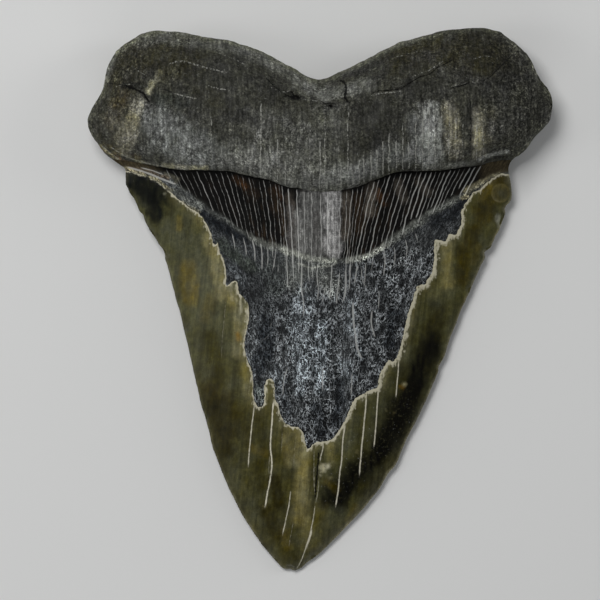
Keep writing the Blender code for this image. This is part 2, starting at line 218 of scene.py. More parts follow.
DARK_CRACK = [(318.8, 452), (318.2, 460), (317.4, 470), (316.4, 481),
              (315.8, 489), (315, 498)]

# Pale veins of the bare dentine.
VEINS = [
    ([(127, 167), (138, 170), (150, 174), (162, 179), (176, 184.5)], 1.0, 0.95),
    ([(140, 167.5), (152, 170.5), (164, 175)], 0.7, 0.6),
    ([(232, 233), (234, 242), (235, 250)], 0.7, 0.55),
    ([(243, 237), (245.5, 247), (246.5, 256)], 0.7, 0.55),
    ([(252, 239), (254.5, 250), (255, 262)], 0.75, 0.65),
    ([(260.5, 243), (262, 254), (262, 270)], 0.75, 0.6),
    ([(293.6, 254), (293, 266), (294, 280)], 0.7, 0.5),
    ([(309, 258), (308.4, 270), (309.6, 284)], 0.7, 0.5),
    ([(318, 262), (317, 276), (318.4, 290), (317, 300)], 0.75, 0.5),
    ([(350.6, 262), (350, 276), (349, 290)], 0.75, 0.65),
    ([(366, 262), (365, 274), (364.6, 284)], 0.7, 0.6),
    ([(384, 250), (385, 262), (383.6, 276)], 0.75, 0.6),
    ([(394, 246), (395, 258), (393, 268)], 0.7, 0.5),
    ([(405, 238), (407, 248), (406, 258)], 0.7, 0.5),
    ([(415, 232), (418, 242)], 0.7, 0.5),
    ([(301.2, 256), (301.8, 268), (301.6, 282), (301.4, 290), (303, 298),
      (303.6, 306), (303.6, 318)], 0.75, 0.6),
    ([(287.4, 250), (286.8, 262), (287.4, 276), (287.8, 288)], 0.7, 0.5),
    ([(267.6, 246), (268, 258), (267, 268)], 0.7, 0.45),
    ([(276, 246), (275, 258), (272.4, 272)], 0.7, 0.4),
    ([(278.4, 262), (277.8, 274)], 0.7, 0.4),
    ([(332, 264), (331.4, 276), (330.6, 288), (329.4, 300)], 0.75, 0.6),
    ([(339.6, 272), (338.4, 284), (337, 296), (336.4, 305)], 0.8, 0.6),
    ([(345.6, 270), (345.8, 284), (345, 294), (342.6, 302)], 1.1, 0.75),
    ([(357.6, 264), (356, 274), (354.4, 284)], 0.8, 0.6),
    ([(325.6, 287), (323.2, 296), (322, 304)], 0.7, 0.45),
    ([(353, 302), (353.2, 312), (353.8, 324), (355.6, 336), (357, 347),
      (359.4, 354), (362, 359)], 1.15, 0.85),
    ([(372, 310), (371.2, 322), (373, 331), (375.5, 338)], 0.9, 0.7),
    ([(361.6, 268), (362, 278), (366, 288)], 0.7, 0.5),
    ([(378.6, 290), (379, 300), (378, 310)], 0.7, 0.5),
    ([(352, 372), (351.6, 384), (351, 396)], 0.9, 0.5),
    ([(323.6, 366), (322.4, 380), (323, 392)], 0.9, 0.5),
    ([(270.6, 332), (266, 338), (260, 341)], 0.8, 0.26),
    ([(272.4, 318), (270.8, 326), (270.6, 332)], 0.8, 0.24),
    ([(288, 366), (283.6, 382), (283, 396)], 0.8, 0.45),
]

# Pale upright streaks of the root: x at the top, y at the top, half width,
# strength; they run down over the lip.
ROOT_STREAKS = [
    (261, 104, 1.1, 0.85), (277.5, 138, 1.0, 0.85), (271, 168, 0.9, 0.5),
    (285.5, 160, 1.0, 0.8), (291, 176, 0.9, 0.5), (297.5, 178, 1.0, 0.6),
    (304, 182, 0.9, 0.5), (311, 184, 0.9, 0.5), (320, 142, 1.0, 0.6),
    (327, 178, 0.9, 0.5), (325, 100, 0.9, 0.45), (341, 168, 1.1, 0.8),
    (348, 104, 0.9, 0.5), (353, 170, 1.0, 0.7), (359, 160, 1.0, 0.7),
    (364, 154, 0.9, 0.6), (371, 150, 1.0, 0.75), (377, 148, 1.0, 0.7),
    (383, 140, 1.0, 0.75), (389, 132, 1.0, 0.6), (396, 138, 1.0, 0.75),
    (403, 124, 1.0, 0.6), (409, 140, 1.0, 0.6), (416, 120, 1.0, 0.7),
    (423, 104, 1.1, 0.7), (429, 100, 1.1, 0.75), (435, 108, 1.0, 0.7),
    (441, 112, 1.0, 0.6), (449, 104, 1.0, 0.5), (456, 112, 1.0, 0.5),
    (463, 122, 0.9, 0.4), (477, 110, 1.0, 0.6), (483, 120, 0.9, 0.5),
    (250, 152, 0.9, 0.6), (240, 158, 0.9, 0.5), (232, 148, 0.9, 0.5),
    (222, 140, 0.9, 0.4), (211, 108, 1.1, 0.35), (203, 140, 0.9, 0.4),
    (190, 136, 0.9, 0.35), (180, 130, 0.9, 0.3), (245, 120, 0.8, 0.3),
    (268, 128, 0.8, 0.35), (292, 130, 0.8, 0.35), (310, 126, 0.8, 0.35),
]
# Rows of pale grains: points, half width, strength.
ROOT_DOTS = [
    ([(168, 64), (182, 61), (196, 65), (212, 69), (228, 73)], 1.3, 0.75),
    ([(158, 88), (168, 90.5), (176, 94), (188, 97), (198, 99)], 1.1, 0.8),
    ([(206, 85), (218, 88.5), (232, 91)], 1.2, 0.7),
    ([(128, 64), (140, 72), (152, 78), (164, 76)], 0.9, 0.35),
    ([(112, 88), (126, 84), (138, 86)], 0.9, 0.4),
    ([(371, 96), (380, 93.5), (391, 92.5), (402, 91)], 1.1, 0.75),
    ([(411, 78), (420, 73.5), (429, 70.5), (437, 65), (445, 60)], 0.9, 0.6),
    ([(108, 145.5), (116, 150.5), (126, 156.5), (139, 161), (155, 165),
      (166, 166.5)], 0.9, 0.80),
    ([(101, 145.5), (108, 151), (116, 157), (123, 161)], 0.8, 0.85),
    ([(300, 98), (316, 101), (330, 100), (346, 96), (360, 93)], 1.2, 0.6),
    ([(268, 86), (282, 92), (292, 90)], 1.0, 0.5),
    ([(448, 88), (460, 85), (470, 82), (480, 84)], 1.0, 0.6),
    ([(482, 82), (491, 76), (500, 67), (512, 54)], 1.0, 0.6),
    ([(150, 102), (158, 108), (164, 112)], 0.9, 0.4),
    ([(392, 58), (408, 54), (424, 50)], 0.9, 0.35),
    ([(470, 60), (486, 56), (500, 60)], 0.9, 0.3),
    ([(216, 52), (232, 58), (248, 66)], 0.9, 0.35),
]

# Dark cracks of the root: points, half width, strength.
ROOT_CRACKS = [
    ([(124, 85), (130, 87.5), (136, 89.5), (141, 92), (144, 94), (147, 99),
      (150, 102)], 1.15, 1.15),
    ([(155, 104), (157, 107), (158, 110)], 0.8, 0.7),
    ([(160, 89), (165, 89.6), (170, 91.5), (175, 94)], 0.8, 0.8),
    ([(283, 97), (287, 96), (291, 96.8), (296, 98)], 0.9, 0.9),
    ([(289, 96.5), (293, 97.6), (297, 98), (300, 97)], 1.9, 1.25),
    ([(290, 91), (292.5, 93.4), (295, 96)], 1.1, 1.0),
    ([(329.6, 105), (331, 106.4), (332.6, 107.4)], 1.8, 1.25),
    ([(337, 80.5), (343, 81.5), (345.5, 85), (346, 91), (344.8, 97),
      (347.5, 101), (350, 103)], 1.2, 1.15),
    ([(371, 94), (378, 91), (389, 90.4), (400, 89), (405, 86), (413, 81),
      (420, 77), (430, 74), (437, 68), (445, 64), (452, 60), (455, 57)],
     0.62, 0.80),
    ([(450, 88), (460, 86), (468, 83), (472, 80)], 0.8, 0.75),
    ([(480, 84), (485, 80), (490, 77), (497, 70), (505, 62), (512, 55)],
     0.8, 0.80),
    ([(319, 100), (325, 103.5), (330, 103), (336, 104)], 0.8, 0.8),
    ([(266, 78), (272, 84), (280, 91), (286, 95)], 0.7, 0.7),
    ([(470, 96), (470.6, 112), (471, 128), (470.5, 144)], 0.7, 0.5),
    ([(531, 88), (532, 96), (530, 104)], 0.8, 0.6),
    ([(99, 84), (108, 83), (116, 84), (124, 85)], 0.6, 0.55),
]
ROOT_PITS = [((294.6, 96.4), 2.3, 0.85e-3), ((298.2, 97.4), 2.7, 1.2e-3),
             ((292.6, 92.2), 1.2, 0.5e-3), ((331, 106.4), 2.4, 1.2e-3)]
SPOT = ((500.5, 193.0), 9.5)     # round pale scar near the enamel's shoulder
# shell-shaped chips of the cutting edge: centre, radii, depth
CHIPS = [((502, 219), (6, 8), 0.40e-3), ((489, 249), (5, 4), 0.35e-3),
         ((470, 290), (4, 4.5), 0.28e-3), ((441, 361), (4, 5), 0.22e-3),
         ((164.5, 252), (5, 5), 0.32e-3), ((152, 234), (4, 5), 0.25e-3),
         ((131, 193), (5, 5), 0.30e-3), ((206, 417), (4, 5), 0.20e-3),
         ((312, 556), (5, 4), 0.28e-3), ((277, 559), (4, 4), 0.22e-3)]

# The labial side: the enamel's upper border, and its fine cracks.
LABIAL = [(110, 161.5), (125.6, 168), (150, 170.5), (190, 169), (240, 171),
          (280, 177.5), (305, 184), (322, 187), (340, 184.5), (368, 178),
          (410, 171), (450, 167.5), (490, 166), (508.5, 166), (515, 163)]
BACK_CRACKS = [
    ([(214, 196), (216, 232), (220, 268), (226, 300)], 1.1, 0.5),
    ([(256, 190), (259, 240), (263, 292), (266, 340), (270, 372)], 1.2, 0.7),
    ([(300, 196), (300, 250), (301, 300)], 1.1, 0.4),
    ([(333, 330), (330, 380), (325, 430), (318, 474)], 1.2, 0.65),
    ([(372, 188), (369, 232), (364, 276)], 1.1, 0.5),
    ([(412, 186), (408, 220), (402, 252)], 1.1, 0.4),
    ([(283, 440), (285, 480), (288, 516)], 1.1, 0.5),
    ([(150, 92), (172, 84), (196, 86), (214, 80)], 1.3, 0.8),
    ([(402, 74), (428, 82), (448, 80), (470, 88)], 1.3, 0.8),
    ([(318, 100), (321, 122), (317, 140)], 1.2, 0.7),
]

# Tones, as red, green and blue to 255.
TONES = {
    "root": (56, 56, 50), "olive brown": (44, 42, 29), "dark grey": (42, 42, 38),
    "brown dark": (30, 29, 22), "charcoal": (22, 23, 20), "near black": (6, 6, 5),
    "pale": (111, 112, 106), "patina": (110, 112, 109), "tan": (118, 115, 100),
    "cream": (146, 143, 118), "rust": (92, 68, 36), "lime": (152, 145, 114),
    "slate": (46, 49, 46), "rim": (100, 101, 88), "umber": (66, 58, 40),
    "silver white": (138, 140, 135), "cream light": (172, 166, 136),
    "band": (10, 9, 8), "band brown": (40, 30, 19), "ash": (118, 118, 115),
    "bright ash": (148, 147, 145), "ash dark": (74, 72, 70),
    "ash brown": (80, 74, 66), "copper": (70, 44, 18),
    "dentine": (53, 55, 56), "blue black": (24, 27, 30), "silver": (86, 91, 94),
    "ridge": (98, 100, 94), "bright ridge": (146, 148, 138),
    "green grey": (56, 61, 55), "mid grey": (66, 68, 68), "moss": (92, 94, 90),
    "khaki": (66, 65, 38), "grey olive": (82, 83, 64), "ochre": (96, 84, 28),
    "gold": (58, 50, 5), "olive": (50, 47, 10), "dark olive": (34, 31, 5),
    "green black": (8, 11, 6), "brown black": (7, 6, 2),
    "umber olive": (42, 38, 9), "straw": (128, 121, 80), "buff": (110, 105, 62),
    "amber": (140, 108, 40), "horn": (62, 60, 40), "horn pale": (108, 105, 84),
    "bone": (126, 120, 84), "wedge": (150, 145, 114), "chip": (124, 124, 108),
    "scar": (74, 69, 40), "scar ring": (102, 94, 56), "scar core": (66, 65, 48),
    "worn root": (88, 89, 82), "worn crown": (84, 82, 62),
}

# Marks: tone, strength, half width, softness, path.
ROOT_MARKS = [
    ("olive brown", 0.70, 26, 0.8, [(116, 84), (128, 60), (152, 56), (184, 60)]),
    ("umber", 0.40, 11, 0.8, [(112, 120), (118, 106), (122, 98)]),
    ("olive brown", 0.45, 9, 0.8, [(96, 112), (94, 126), (102, 142)]),
    ("tan", 0.40, 9, 0.8, [(116, 126), (120, 142)]),
    ("dark grey", 0.22, 22, 0.8, [(196, 72), (238, 74), (262, 84)]),
    ("dark grey", 0.42, 13, 0.8, [(236, 112), (246, 124), (248, 134)]),
    # painted rim light: a pale band just inside the root's top-left margin
    ("pale", 0.45, 7, 0.8, [(136, 42), (160, 38), (200, 43), (234, 48),
                            (262, 58), (284, 70)]),
    ("tan", 0.80, 9, 0.7, [(136, 106), (131, 130), (126, 148)]),
    ("patina", 0.88, 25, 0.9, [(163, 124), (176, 140), (190, 152)]),
    ("patina", 0.55, 17, 0.9, [(202, 142), (214, 156)]),
    ("patina", 0.20, 12, 0.9, [(150, 132), (150, 148)]),
    ("slate", 0.62, 9, 0.7, [(157, 99), (182, 101)]),
    ("charcoal", 0.75, 4.5, 0.7, [(125, 84), (139, 86)]),
    ("cream", 0.70, 4.2, 0.8, [(151, 84), (149, 91)]),
    ("cream", 0.60, 5.0, 0.9, [(141, 99), (139, 107), (136, 116)]),
    ("cream", 0.30, 3.4, 0.8, [(160, 72), (156, 80)]),
    ("pale", 0.45, 16, 0.9, [(230, 152), (246, 160), (262, 166)]),
    ("pale", 0.60, 22, 0.9, [(240, 158), (290, 168), (340, 174)]),
    ("pale", 0.30, 26, 0.9, [(262, 128), (310, 140), (330, 128)]),
    ("silver white", 0.55, 12, 0.9, [(330, 178), (352, 174), (372, 166)]),
    ("pale", 0.45, 9, 0.9, [(282, 180), (310, 186), (336, 187)]),
    ("pale", 0.60, 8, 0.8, [(296, 84), (312, 90), (326, 93)]),
    ("pale", 0.75, 8, 0.8, [(322, 96), (346, 90), (368, 85)]),
    ("pale", 0.35, 7, 0.8, [(268, 62), (290, 74), (312, 84)]),
    ("dark grey", 0.50, 8, 0.7, [(262, 84), (276, 90), (290, 104)]),
    # painted shade: dark inside the pits near (295, 97), and a soft painted shadow beside the
    # crack that runs down to them
    ("charcoal", 0.80, 3.0, 0.7, [(286, 96), (299, 98)]),
    ("charcoal", 0.55, 4.0, 0.8, [(268, 80), (276, 88), (286, 95)]),
    ("rim", 0.45, 2.4, 0.8, [(296, 89), (303, 93), (309, 99)]),
    ("rim", 0.50, 3.0, 0.8, [(316, 106), (321, 112), (323, 122)]),
    ("charcoal", 0.38, 1.6, 0.8, [(441, 112), (441, 148)]),
    ("charcoal", 0.34, 1.4, 0.8, [(462, 116), (463, 146)]),
    ("charcoal", 0.30, 1.4, 0.8, [(419, 116), (420, 150)]),
    ("charcoal", 0.30, 1.6, 0.8, [(486, 112), (486, 146)]),
    ("charcoal", 0.65, 2.2, 0.7, [(345, 90), (345, 95)]),
    # painted shade: the black inside the pit at (331, 106)
    ("near black", 0.90, 1.6, 0.7, [(331, 106)]),
    ("dark grey", 0.62, 19, 0.8, [(364, 110), (382, 126), (372, 140)]),
    ("dark grey", 0.55, 15, 0.8, [(392, 64), (400, 78), (426, 90)]),
    ("silver white", 0.95, 13, 0.9, [(429, 112), (432, 132), (428, 156)]),
    ("patina", 0.60, 9, 0.9, [(414, 118), (416, 148)]),
    ("tan", 0.95, 10, 0.9, [(450, 110), (453, 130), (454, 152)]),
    ("charcoal", 0.62, 3.0, 0.8, [(469, 100), (471, 142)]),
    ("tan", 0.95, 7.5, 0.8, [(478, 112), (478, 152)]),
    ("cream", 0.50, 4.5, 0.9, [(477, 120), (478, 148)]),
    ("tan", 0.30, 6.0, 0.8, [(492, 112), (490, 140)]),
    ("olive brown", 0.80, 21, 0.8, [(398, 56), (440, 50), (492, 62)]),
    ("brown dark", 0.70, 19, 0.8, [(470, 38), (500, 52), (514, 76)]),
    ("dark grey", 0.60, 24, 0.8, [(504, 94), (528, 104), (534, 122)]),
    ("charcoal", 0.35, 9, 0.8, [(502, 60), (514, 66)]),
    ("dark grey", 0.55, 9, 0.8, [(360, 72), (380, 64)]),
    ("patina", 0.50, 11, 0.9, [(394, 158), (416, 156), (440, 154)]),
    ("patina", 0.35, 10, 0.9, [(380, 156), (396, 148)]),
    ("dark grey", 0.35, 10, 0.8, [(494, 124), (504, 140)]),
    ("olive brown", 0.30, 10, 0.9, [(200, 92), (216, 100), (230, 108)]),
    ("rust", 0.60, 2.0, 0.6, [(101, 148), (112, 155), (124, 161), (144, 168)]),
    ("cream", 0.42, 1.4, 0.6, [(108, 145.5), (124, 155.5), (140, 161.5),
                               (158, 165.5)]),
    ("charcoal", 0.80, 1.4, 0.6, [(146, 165.5), (158, 168.5), (170, 170)]),
    ("lime", 0.75, 1.5, 0.6, [(100, 145.5), (108, 152.5), (118, 159)]),
    ("umber", 0.50, 2.6, 0.6, [(104, 144), (118, 151), (140, 158)]),
    ("cream", 0.75, 2.6, 0.6, [(164, 165.5), (184, 167.5), (206, 168)]),
    ("pale", 0.75, 2.8, 0.6, [(424, 168.5), (450, 165.5), (474, 163)]),
    ("silver white", 0.75, 2.0, 0.6, [(478, 160), (490, 154.5), (508, 151.5)]),
    ("charcoal", 0.70, 1.8, 0.6, [(484, 161), (500, 157), (513, 156)]),
]
BAND_MARKS = [
    ("band brown", 0.50, 8, 0.7, [(244, 182), (252, 194)]),
    ("band brown", 0.60, 5, 0.7, [(272, 190), (280, 212), (284, 232)]),
    ("copper", 0.55, 5, 0.8, [(236, 178), (246, 186)]),
    ("copper", 0.40, 3.4, 0.8, [(276, 188), (281, 198)]),
    ("near black", 0.92, 10, 0.7, [(228, 192), (256, 206), (273, 222)]),
    ("near black", 0.50, 5, 0.7, [(353, 245), (358, 255)]),
    ("ash brown", 0.60, 5.5, 0.6, [(290, 196), (292, 218), (294, 246)]),
    ("ash dark", 0.80, 5.5, 0.6, [(291, 208), (292, 228), (292, 246)]),
    ("near black", 0.70, 2.6, 0.7, [(285, 187), (292, 192), (294, 198)]),
    ("ash", 0.60, 13, 0.5, [(311, 194), (313, 224), (315, 250)]),
    ("bright ash", 0.95, 9.0, 0.5, [(331, 190), (332, 220), (332, 252)]),
    ("ash dark", 0.75, 4.5, 0.7, [(316, 214), (315, 236)]),
    ("ash", 0.80, 6.0, 0.7, [(299, 214), (300, 250)]),
    ("ash dark", 0.40, 4.0, 0.7, [(312, 240), (318, 252)]),
    ("ash brown", 0.70, 6, 0.7, [(346, 196), (347, 220), (346, 236)]),
    # painted shade: a thin dark line in the crease under the root's edge, along the middle of
    # the lip
    ("near black", 0.80, 1.9, 0.7, [(284, 186.5), (296, 189.6), (306, 191.2)]),
    ("near black", 0.45, 1.4, 0.7, [(306, 191.2), (322, 192), (340, 191)]),
    ("band brown", 0.85, 6, 0.7, [(357, 196), (360, 214), (359, 228)]),
    ("near black", 0.60, 4, 0.8, [(357, 238), (352, 252)]),
    ("copper", 0.55, 4, 0.8, [(377, 190), (384, 204)]),
    ("ash brown", 0.95, 6.5, 0.7, [(372, 186), (370, 212)]),
    ("ash brown", 0.45, 6, 0.7, [(398, 182), (404, 200)]),
    ("ash brown", 0.35, 6, 0.7, [(418, 180), (428, 192)]),
    ("near black", 0.60, 5, 0.7, [(384, 200), (380, 228)]),
]
DENTINE_MARKS = [
    ("blue black", 1.0, 9, 0.7, [(206, 214), (220, 226), (242, 236)]),
    ("blue black", 0.40, 8, 0.8, [(226, 252), (238, 268)]),
    ("green grey", 0.80, 8, 0.7, [(222, 244), (232, 254), (252, 268)]),
    ("silver", 0.30, 7, 0.7, [(232, 268), (242, 284)]),
    ("green grey", 0.30, 15, 0.8, [(272, 268), (276, 286)]),
    ("moss", 0.75, 13, 0.8, [(294, 268), (298, 286)]),
    ("moss", 0.70, 14, 0.8, [(316, 268), (332, 284)]),
    ("blue black", 0.90, 11, 0.8, [(265, 322), (267, 346), (260, 366)]),
    ("blue black", 0.50, 6, 0.8, [(260, 372), (258, 392)]),
    ("silver", 0.60, 14, 0.8, [(304, 296), (300, 330), (304, 372)]),
    ("silver", 0.80, 9, 0.8, [(322, 326), (320, 352), (322, 388)]),
    ("silver", 0.60, 7, 0.8, [(303, 366), (300, 392)]),
    ("silver", 0.50, 8, 0.8, [(350, 376), (344, 364)]),
    ("silver", 0.50, 8, 0.8, [(276, 372), (280, 386)]),
    ("blue black", 0.80, 7, 0.8, [(340, 384), (340, 404), (334, 424)]),
    ("blue black", 0.70, 8, 0.8, [(316, 408), (320, 430)]),
    ("blue black", 0.60, 6, 0.8, [(284, 394), (288, 414)]),
    ("blue black", 0.85, 8, 0.8, [(394, 314), (390, 344)]),
    ("blue black", 0.45, 7, 0.8, [(364, 366), (360, 350)]),
    ("blue black", 0.85, 9, 0.8, [(436, 222), (450, 214), (462, 204)]),
    ("silver", 0.35, 8, 0.8, [(352, 300), (350, 330)]),
    ("mid grey", 0.65, 12, 0.8, [(398, 262), (426, 238)]),
    ("silver", 0.50, 3, 0.7, [(353, 302), (355, 336), (362, 358)]),
    ("green grey", 0.40, 5, 0.7, [(258, 386), (260, 400)]),
]
RIDGE_MARKS = [
    ("ridge", 0.75, 4.5, 0.8, [(252, 238), (266, 244), (284, 249)]),
    ("bright ridge", 0.85, 4.0, 0.7, [(284, 250), (298, 255)]),
    ("bright ridge", 0.75, 3.4, 0.7, [(300, 256), (312, 259), (334, 261)]),
    ("bright ridge", 0.60, 3.4, 0.7, [(348, 260), (368, 256), (386, 245)]),
    ("bright ridge", 0.60, 1.6, 0.7, [(299, 264), (311, 268), (321, 266.5),
                                      (334, 265)]),
    ("ridge", 0.70, 5.0, 0.8, [(388, 243), (404, 232), (424, 219)]),
    ("ridge", 0.60, 4.0, 0.8, [(428, 214), (444, 206), (456, 199)]),
    ("rust", 0.40, 3.0, 0.7, [(128, 168.5), (150, 172), (168, 178)]),
    ("lime", 0.65, 1.8, 0.6, [(126, 168), (136, 172), (146, 175.5),
                              (156, 179), (166, 187), (172, 191)]),
    ("tan", 0.45, 2.4, 0.7, [(166, 174), (178, 179), (176, 182)]),
    ("lime", 0.40, 1.8, 0.7, [(182, 202), (188, 206), (199, 212)]),
    ("lime", 0.70, 2.4, 0.6, [(462, 198), (467, 196)]),
    ("ridge", 0.60, 4.0, 0.7, [(172, 190), (186, 200), (200, 208)]),
    ("lime", 0.55, 4.0, 0.8, [(466, 191), (480, 183), (498, 175)]),
]
ENAMEL_MARKS = [
    # greyer patch over the upper left of the blade: partly the enamel's own tone, partly a
    # painted sheen from light on the left
    ("grey olive", 0.45, 24, 0.9, [(176, 232), (196, 262), (202, 300)]),
    ("green black", 1.0, 15, 0.5, [(129, 176), (144, 182), (158, 192)]),
    ("green black", 0.95, 11, 0.7, [(144, 194), (152, 205), (156, 213)]),
    ("green black", 0.50, 9, 0.9, [(160, 188), (174, 200)]),
    ("grey olive", 0.55, 3.0, 0.9, [(133, 202), (141, 214), (152, 230)]),
    ("green black", 0.35, 7, 0.8, [(164, 204), (172, 212)]),
    ("grey olive", 0.35, 5, 0.7, [(136, 199), (144, 208)]),
    ("straw", 0.60, 8, 0.8, [(208, 238), (216, 262), (222, 296)]),
    ("straw", 0.35, 6, 0.8, [(224, 284), (232, 300)]),
    ("straw", 0.55, 8, 0.8, [(234, 300), (240, 326), (238, 352)]),
    ("buff", 0.75, 7, 0.8, [(244, 366), (247, 392)]),
    ("ochre", 0.75, 11, 0.8, [(188, 268), (190, 298)]),
    ("ochre", 0.50, 4, 0.7, [(179, 219), (179, 228)]),
    ("ochre", 0.30, 8, 0.8, [(210, 300), (206, 318)]),
    ("olive", 0.90, 9, 0.8, [(212, 336), (219, 382)]),
    ("olive", 0.40, 8, 0.8, [(202, 330), (208, 356)]),
    ("umber olive", 0.92, 13, 0.8, [(210, 392), (216, 416), (224, 450)]),
    ("umber olive", 0.80, 9, 0.8, [(228, 396), (232, 432)]),
    ("umber olive", 0.50, 10, 0.9, [(240, 412), (248, 440)]),
    ("grey olive", 0.30, 8, 0.8, [(228, 462), (240, 486)]),
    ("olive", 0.50, 6, 0.8, [(260, 414), (262, 448)]),
    ("ochre", 0.35, 5, 0.7, [(252, 448), (266, 454)]),
    ("olive", 0.60, 6, 0.7, [(260, 464), (262, 488)]),
    ("dark olive", 0.90, 8, 0.7, [(274, 480), (279, 504)]),
    ("straw", 0.55, 7, 0.8, [(286, 438), (290, 462)]),
    ("straw", 0.72, 10, 0.8, [(302, 436), (303, 476), (300, 518)]),
    ("olive", 0.35, 4, 0.8, [(312, 462), (311, 496)]),
    ("umber olive", 0.80, 11, 0.8, [(266, 512), (278, 536)]),
    ("ochre", 0.35, 6, 0.8, [(284, 530), (288, 546)]),
    ("umber olive", 0.50, 7, 0.8, [(286, 552), (294, 558)]),
    ("straw", 0.35, 7, 0.8, [(300, 436), (290, 432)]),
    ("grey olive", 0.25, 9, 0.8, [(246, 500), (258, 524)]),
    ("straw", 0.30, 8, 0.9, [(306, 524), (304, 546)]),
    # right half
    ("gold", 0.90, 13, 0.7, [(498, 178), (488, 196), (484, 214)]),
    ("gold", 0.75, 10, 0.8, [(474, 230), (464, 252), (462, 280)]),
    ("ochre", 0.45, 5, 0.7, [(492, 180), (482, 198)]),
    ("straw", 0.60, 8, 0.8, [(448, 246), (446, 266), (448, 284)]),
    ("buff", 0.30, 7, 0.8, [(440, 282), (434, 296)]),
    ("ochre", 0.35, 5, 0.8, [(478, 246), (474, 262)]),
    ("umber olive", 0.62, 12, 0.8, [(442, 312), (432, 334), (430, 350)]),
    ("brown black", 0.72, 9, 0.8, [(436, 336), (428, 360)]),
    ("ochre", 0.30, 6, 0.8, [(412, 308), (410, 326)]),
    ("grey olive", 0.25, 8, 0.8, [(406, 348), (400, 372)]),
    ("brown black", 0.97, 17, 0.9, [(427, 350), (415, 384), (405, 412),
                                    (396, 434), (384, 450), (366, 466),
                                    (351, 480), (338, 500)]),
    ("brown black", 0.97, 13, 0.8, [(414, 384), (402, 412), (394, 436),
                                    (382, 450)]),
    ("brown black", 0.75, 11, 1.0, [(392, 402), (388, 424), (380, 444)]),
    ("brown black", 0.70, 8, 0.9, [(352, 466), (346, 486), (340, 500)]),
    ("brown black", 0.80, 9, 0.9, [(329, 486), (325, 502)]),
    ("dark olive", 0.75, 10, 0.8, [(392, 462), (380, 478), (364, 492)]),
    ("grey olive", 0.25, 7, 0.8, [(380, 404), (372, 428)]),
    ("grey olive", 0.25, 7, 0.8, [(356, 420), (350, 448)]),
    ("straw", 0.22, 6, 0.8, [(388, 366), (384, 384)]),
    ("straw", 0.35, 7, 0.8, [(330, 448), (330, 460)]),
    ("ochre", 0.20, 11, 0.8, [(318, 508), (324, 528), (314, 546)]),
    ("ochre", 0.50, 4.0, 0.8, [(356, 507), (348, 519)]),
    ("grey olive", 0.35, 9, 0.9, [(334, 512), (322, 534)]),
    ("charcoal", 0.40, 8, 0.8, [(133, 178), (148, 204), (157, 218)]),
    ("ochre", 0.32, 7, 0.8, [(484, 178), (494, 190)]),
    # painted sheen: a pale strip along the lower right cutting edge
    ("horn pale", 0.34, 4.6, 0.9, [(374, 488), (356, 513), (335, 535),
                                   (313, 554), (298, 565)]),
    ("straw", 0.20, 9, 0.9, [(302, 500), (308, 528)]),
    ("grey olive", 0.20, 9, 0.8, [(344, 516), (330, 538)]),
    ("gold", 0.60, 6, 0.8, [(328, 480), (336, 490)]),
    ("ochre", 0.35, 4, 0.8, [(326, 482), (330, 486)]),
    ("dark olive", 0.45, 9, 0.8, [(402, 366), (398, 380)]),
    ("dark olive", 0.45, 8, 0.8, [(376, 420), (370, 440)]),
]
ENAMEL_SPOTS = [
    ("cream light", 0.80, 3.0, 0.6, [(321, 466.5), (328, 466.5)]),
    ("wedge", 0.80, 2.6, 0.6, [(321, 468), (324, 471)]),
    ("wedge", 0.65, 1.8, 0.7, [(320.5, 470), (320, 475)]),
    ("cream light", 0.85, 1.7, 0.7, [(240, 291), (241, 312)]),
    ("cream light", 0.70, 1.3, 0.7, [(236, 285), (236.5, 303)]),
    ("cream light", 0.50, 1.2, 0.7, [(231, 279), (232, 300)]),
    ("cream light", 0.60, 1.3, 0.7, [(246, 309), (247.5, 330)]),
    ("cream light", 0.55, 1.2, 0.7, [(250.5, 331), (251, 352)]),
    ("cream light", 0.45, 1.2, 0.7, [(244, 330), (243, 348)]),
    ("cream light", 0.60, 1.3, 0.7, [(222, 249), (226, 270)]),
    ("cream light", 0.50, 1.2, 0.7, [(213, 235), (217, 250)]),
    ("cream light", 0.45, 1.2, 0.7, [(253, 360), (252.5, 384)]),
    ("cream light", 0.45, 1.2, 0.7, [(257, 392), (257.5, 410)]),
    ("cream light", 0.40, 1.1, 0.7, [(228, 262), (229, 278)]),
    ("amber", 0.60, 3.4, 0.8, [(238, 334), (239, 339)]),
    ("straw", 0.60, 1.8, 0.7, [(236, 318), (236, 330)]),
    ("amber", 0.35, 3.6, 0.8, [(402, 387)]),
    ("wedge", 0.60, 2.6, 0.7, [(404, 384)]),
    ("chip", 0.75, 3.6, 0.7, [(498, 217), (500, 225)]),
    ("chip", 0.45, 2.6, 0.7, [(489, 248)]),
    ("chip", 0.40, 2.0, 0.7, [(470, 290)]),
    ("chip", 0.70, 1.6, 0.7, [(165, 194)]),
    ("bone", 0.60, 1.8, 0.7, [(198, 211)]),
    ("bone", 0.55, 2.2, 0.7, [(357, 452)]),
    ("bone", 0.45, 1.8, 0.7, [(346, 456)]),
    ("bone", 0.45, 2.4, 0.7, [(330, 478)]),
    ("bone", 0.35, 1.8, 0.7, [(386, 410)]),
    ("bone", 0.35, 1.6, 0.7, [(394, 414)]),
    ("bone", 0.45, 1.8, 0.7, [(265, 507)]),
    ("green black", 0.50, 2.0, 0.7, [(263, 544), (266, 548)]),
]
BACK_ROOT_MARKS = [
    ("olive brown", 0.55, 30, 0.9, [(130, 80), (180, 66), (230, 74)]),
    ("patina", 0.45, 24, 0.9, [(150, 130), (200, 146), (252, 142)]),
    ("pale", 0.40, 12, 0.9, [(280, 84), (320, 92), (362, 84)]),
    ("dark grey", 0.55, 28, 0.9, [(400, 70), (460, 60), (510, 84)]),
    ("tan", 0.40, 18, 0.9, [(430, 130), (480, 126)]),
    ("charcoal", 0.35, 12, 0.8, [(318, 118), (322, 150)]),
    ("cream", 0.40, 5, 0.8, [(352, 112), (362, 122)]),
    ("rust", 0.30, 8, 0.8, [(110, 130), (128, 152)]),
]
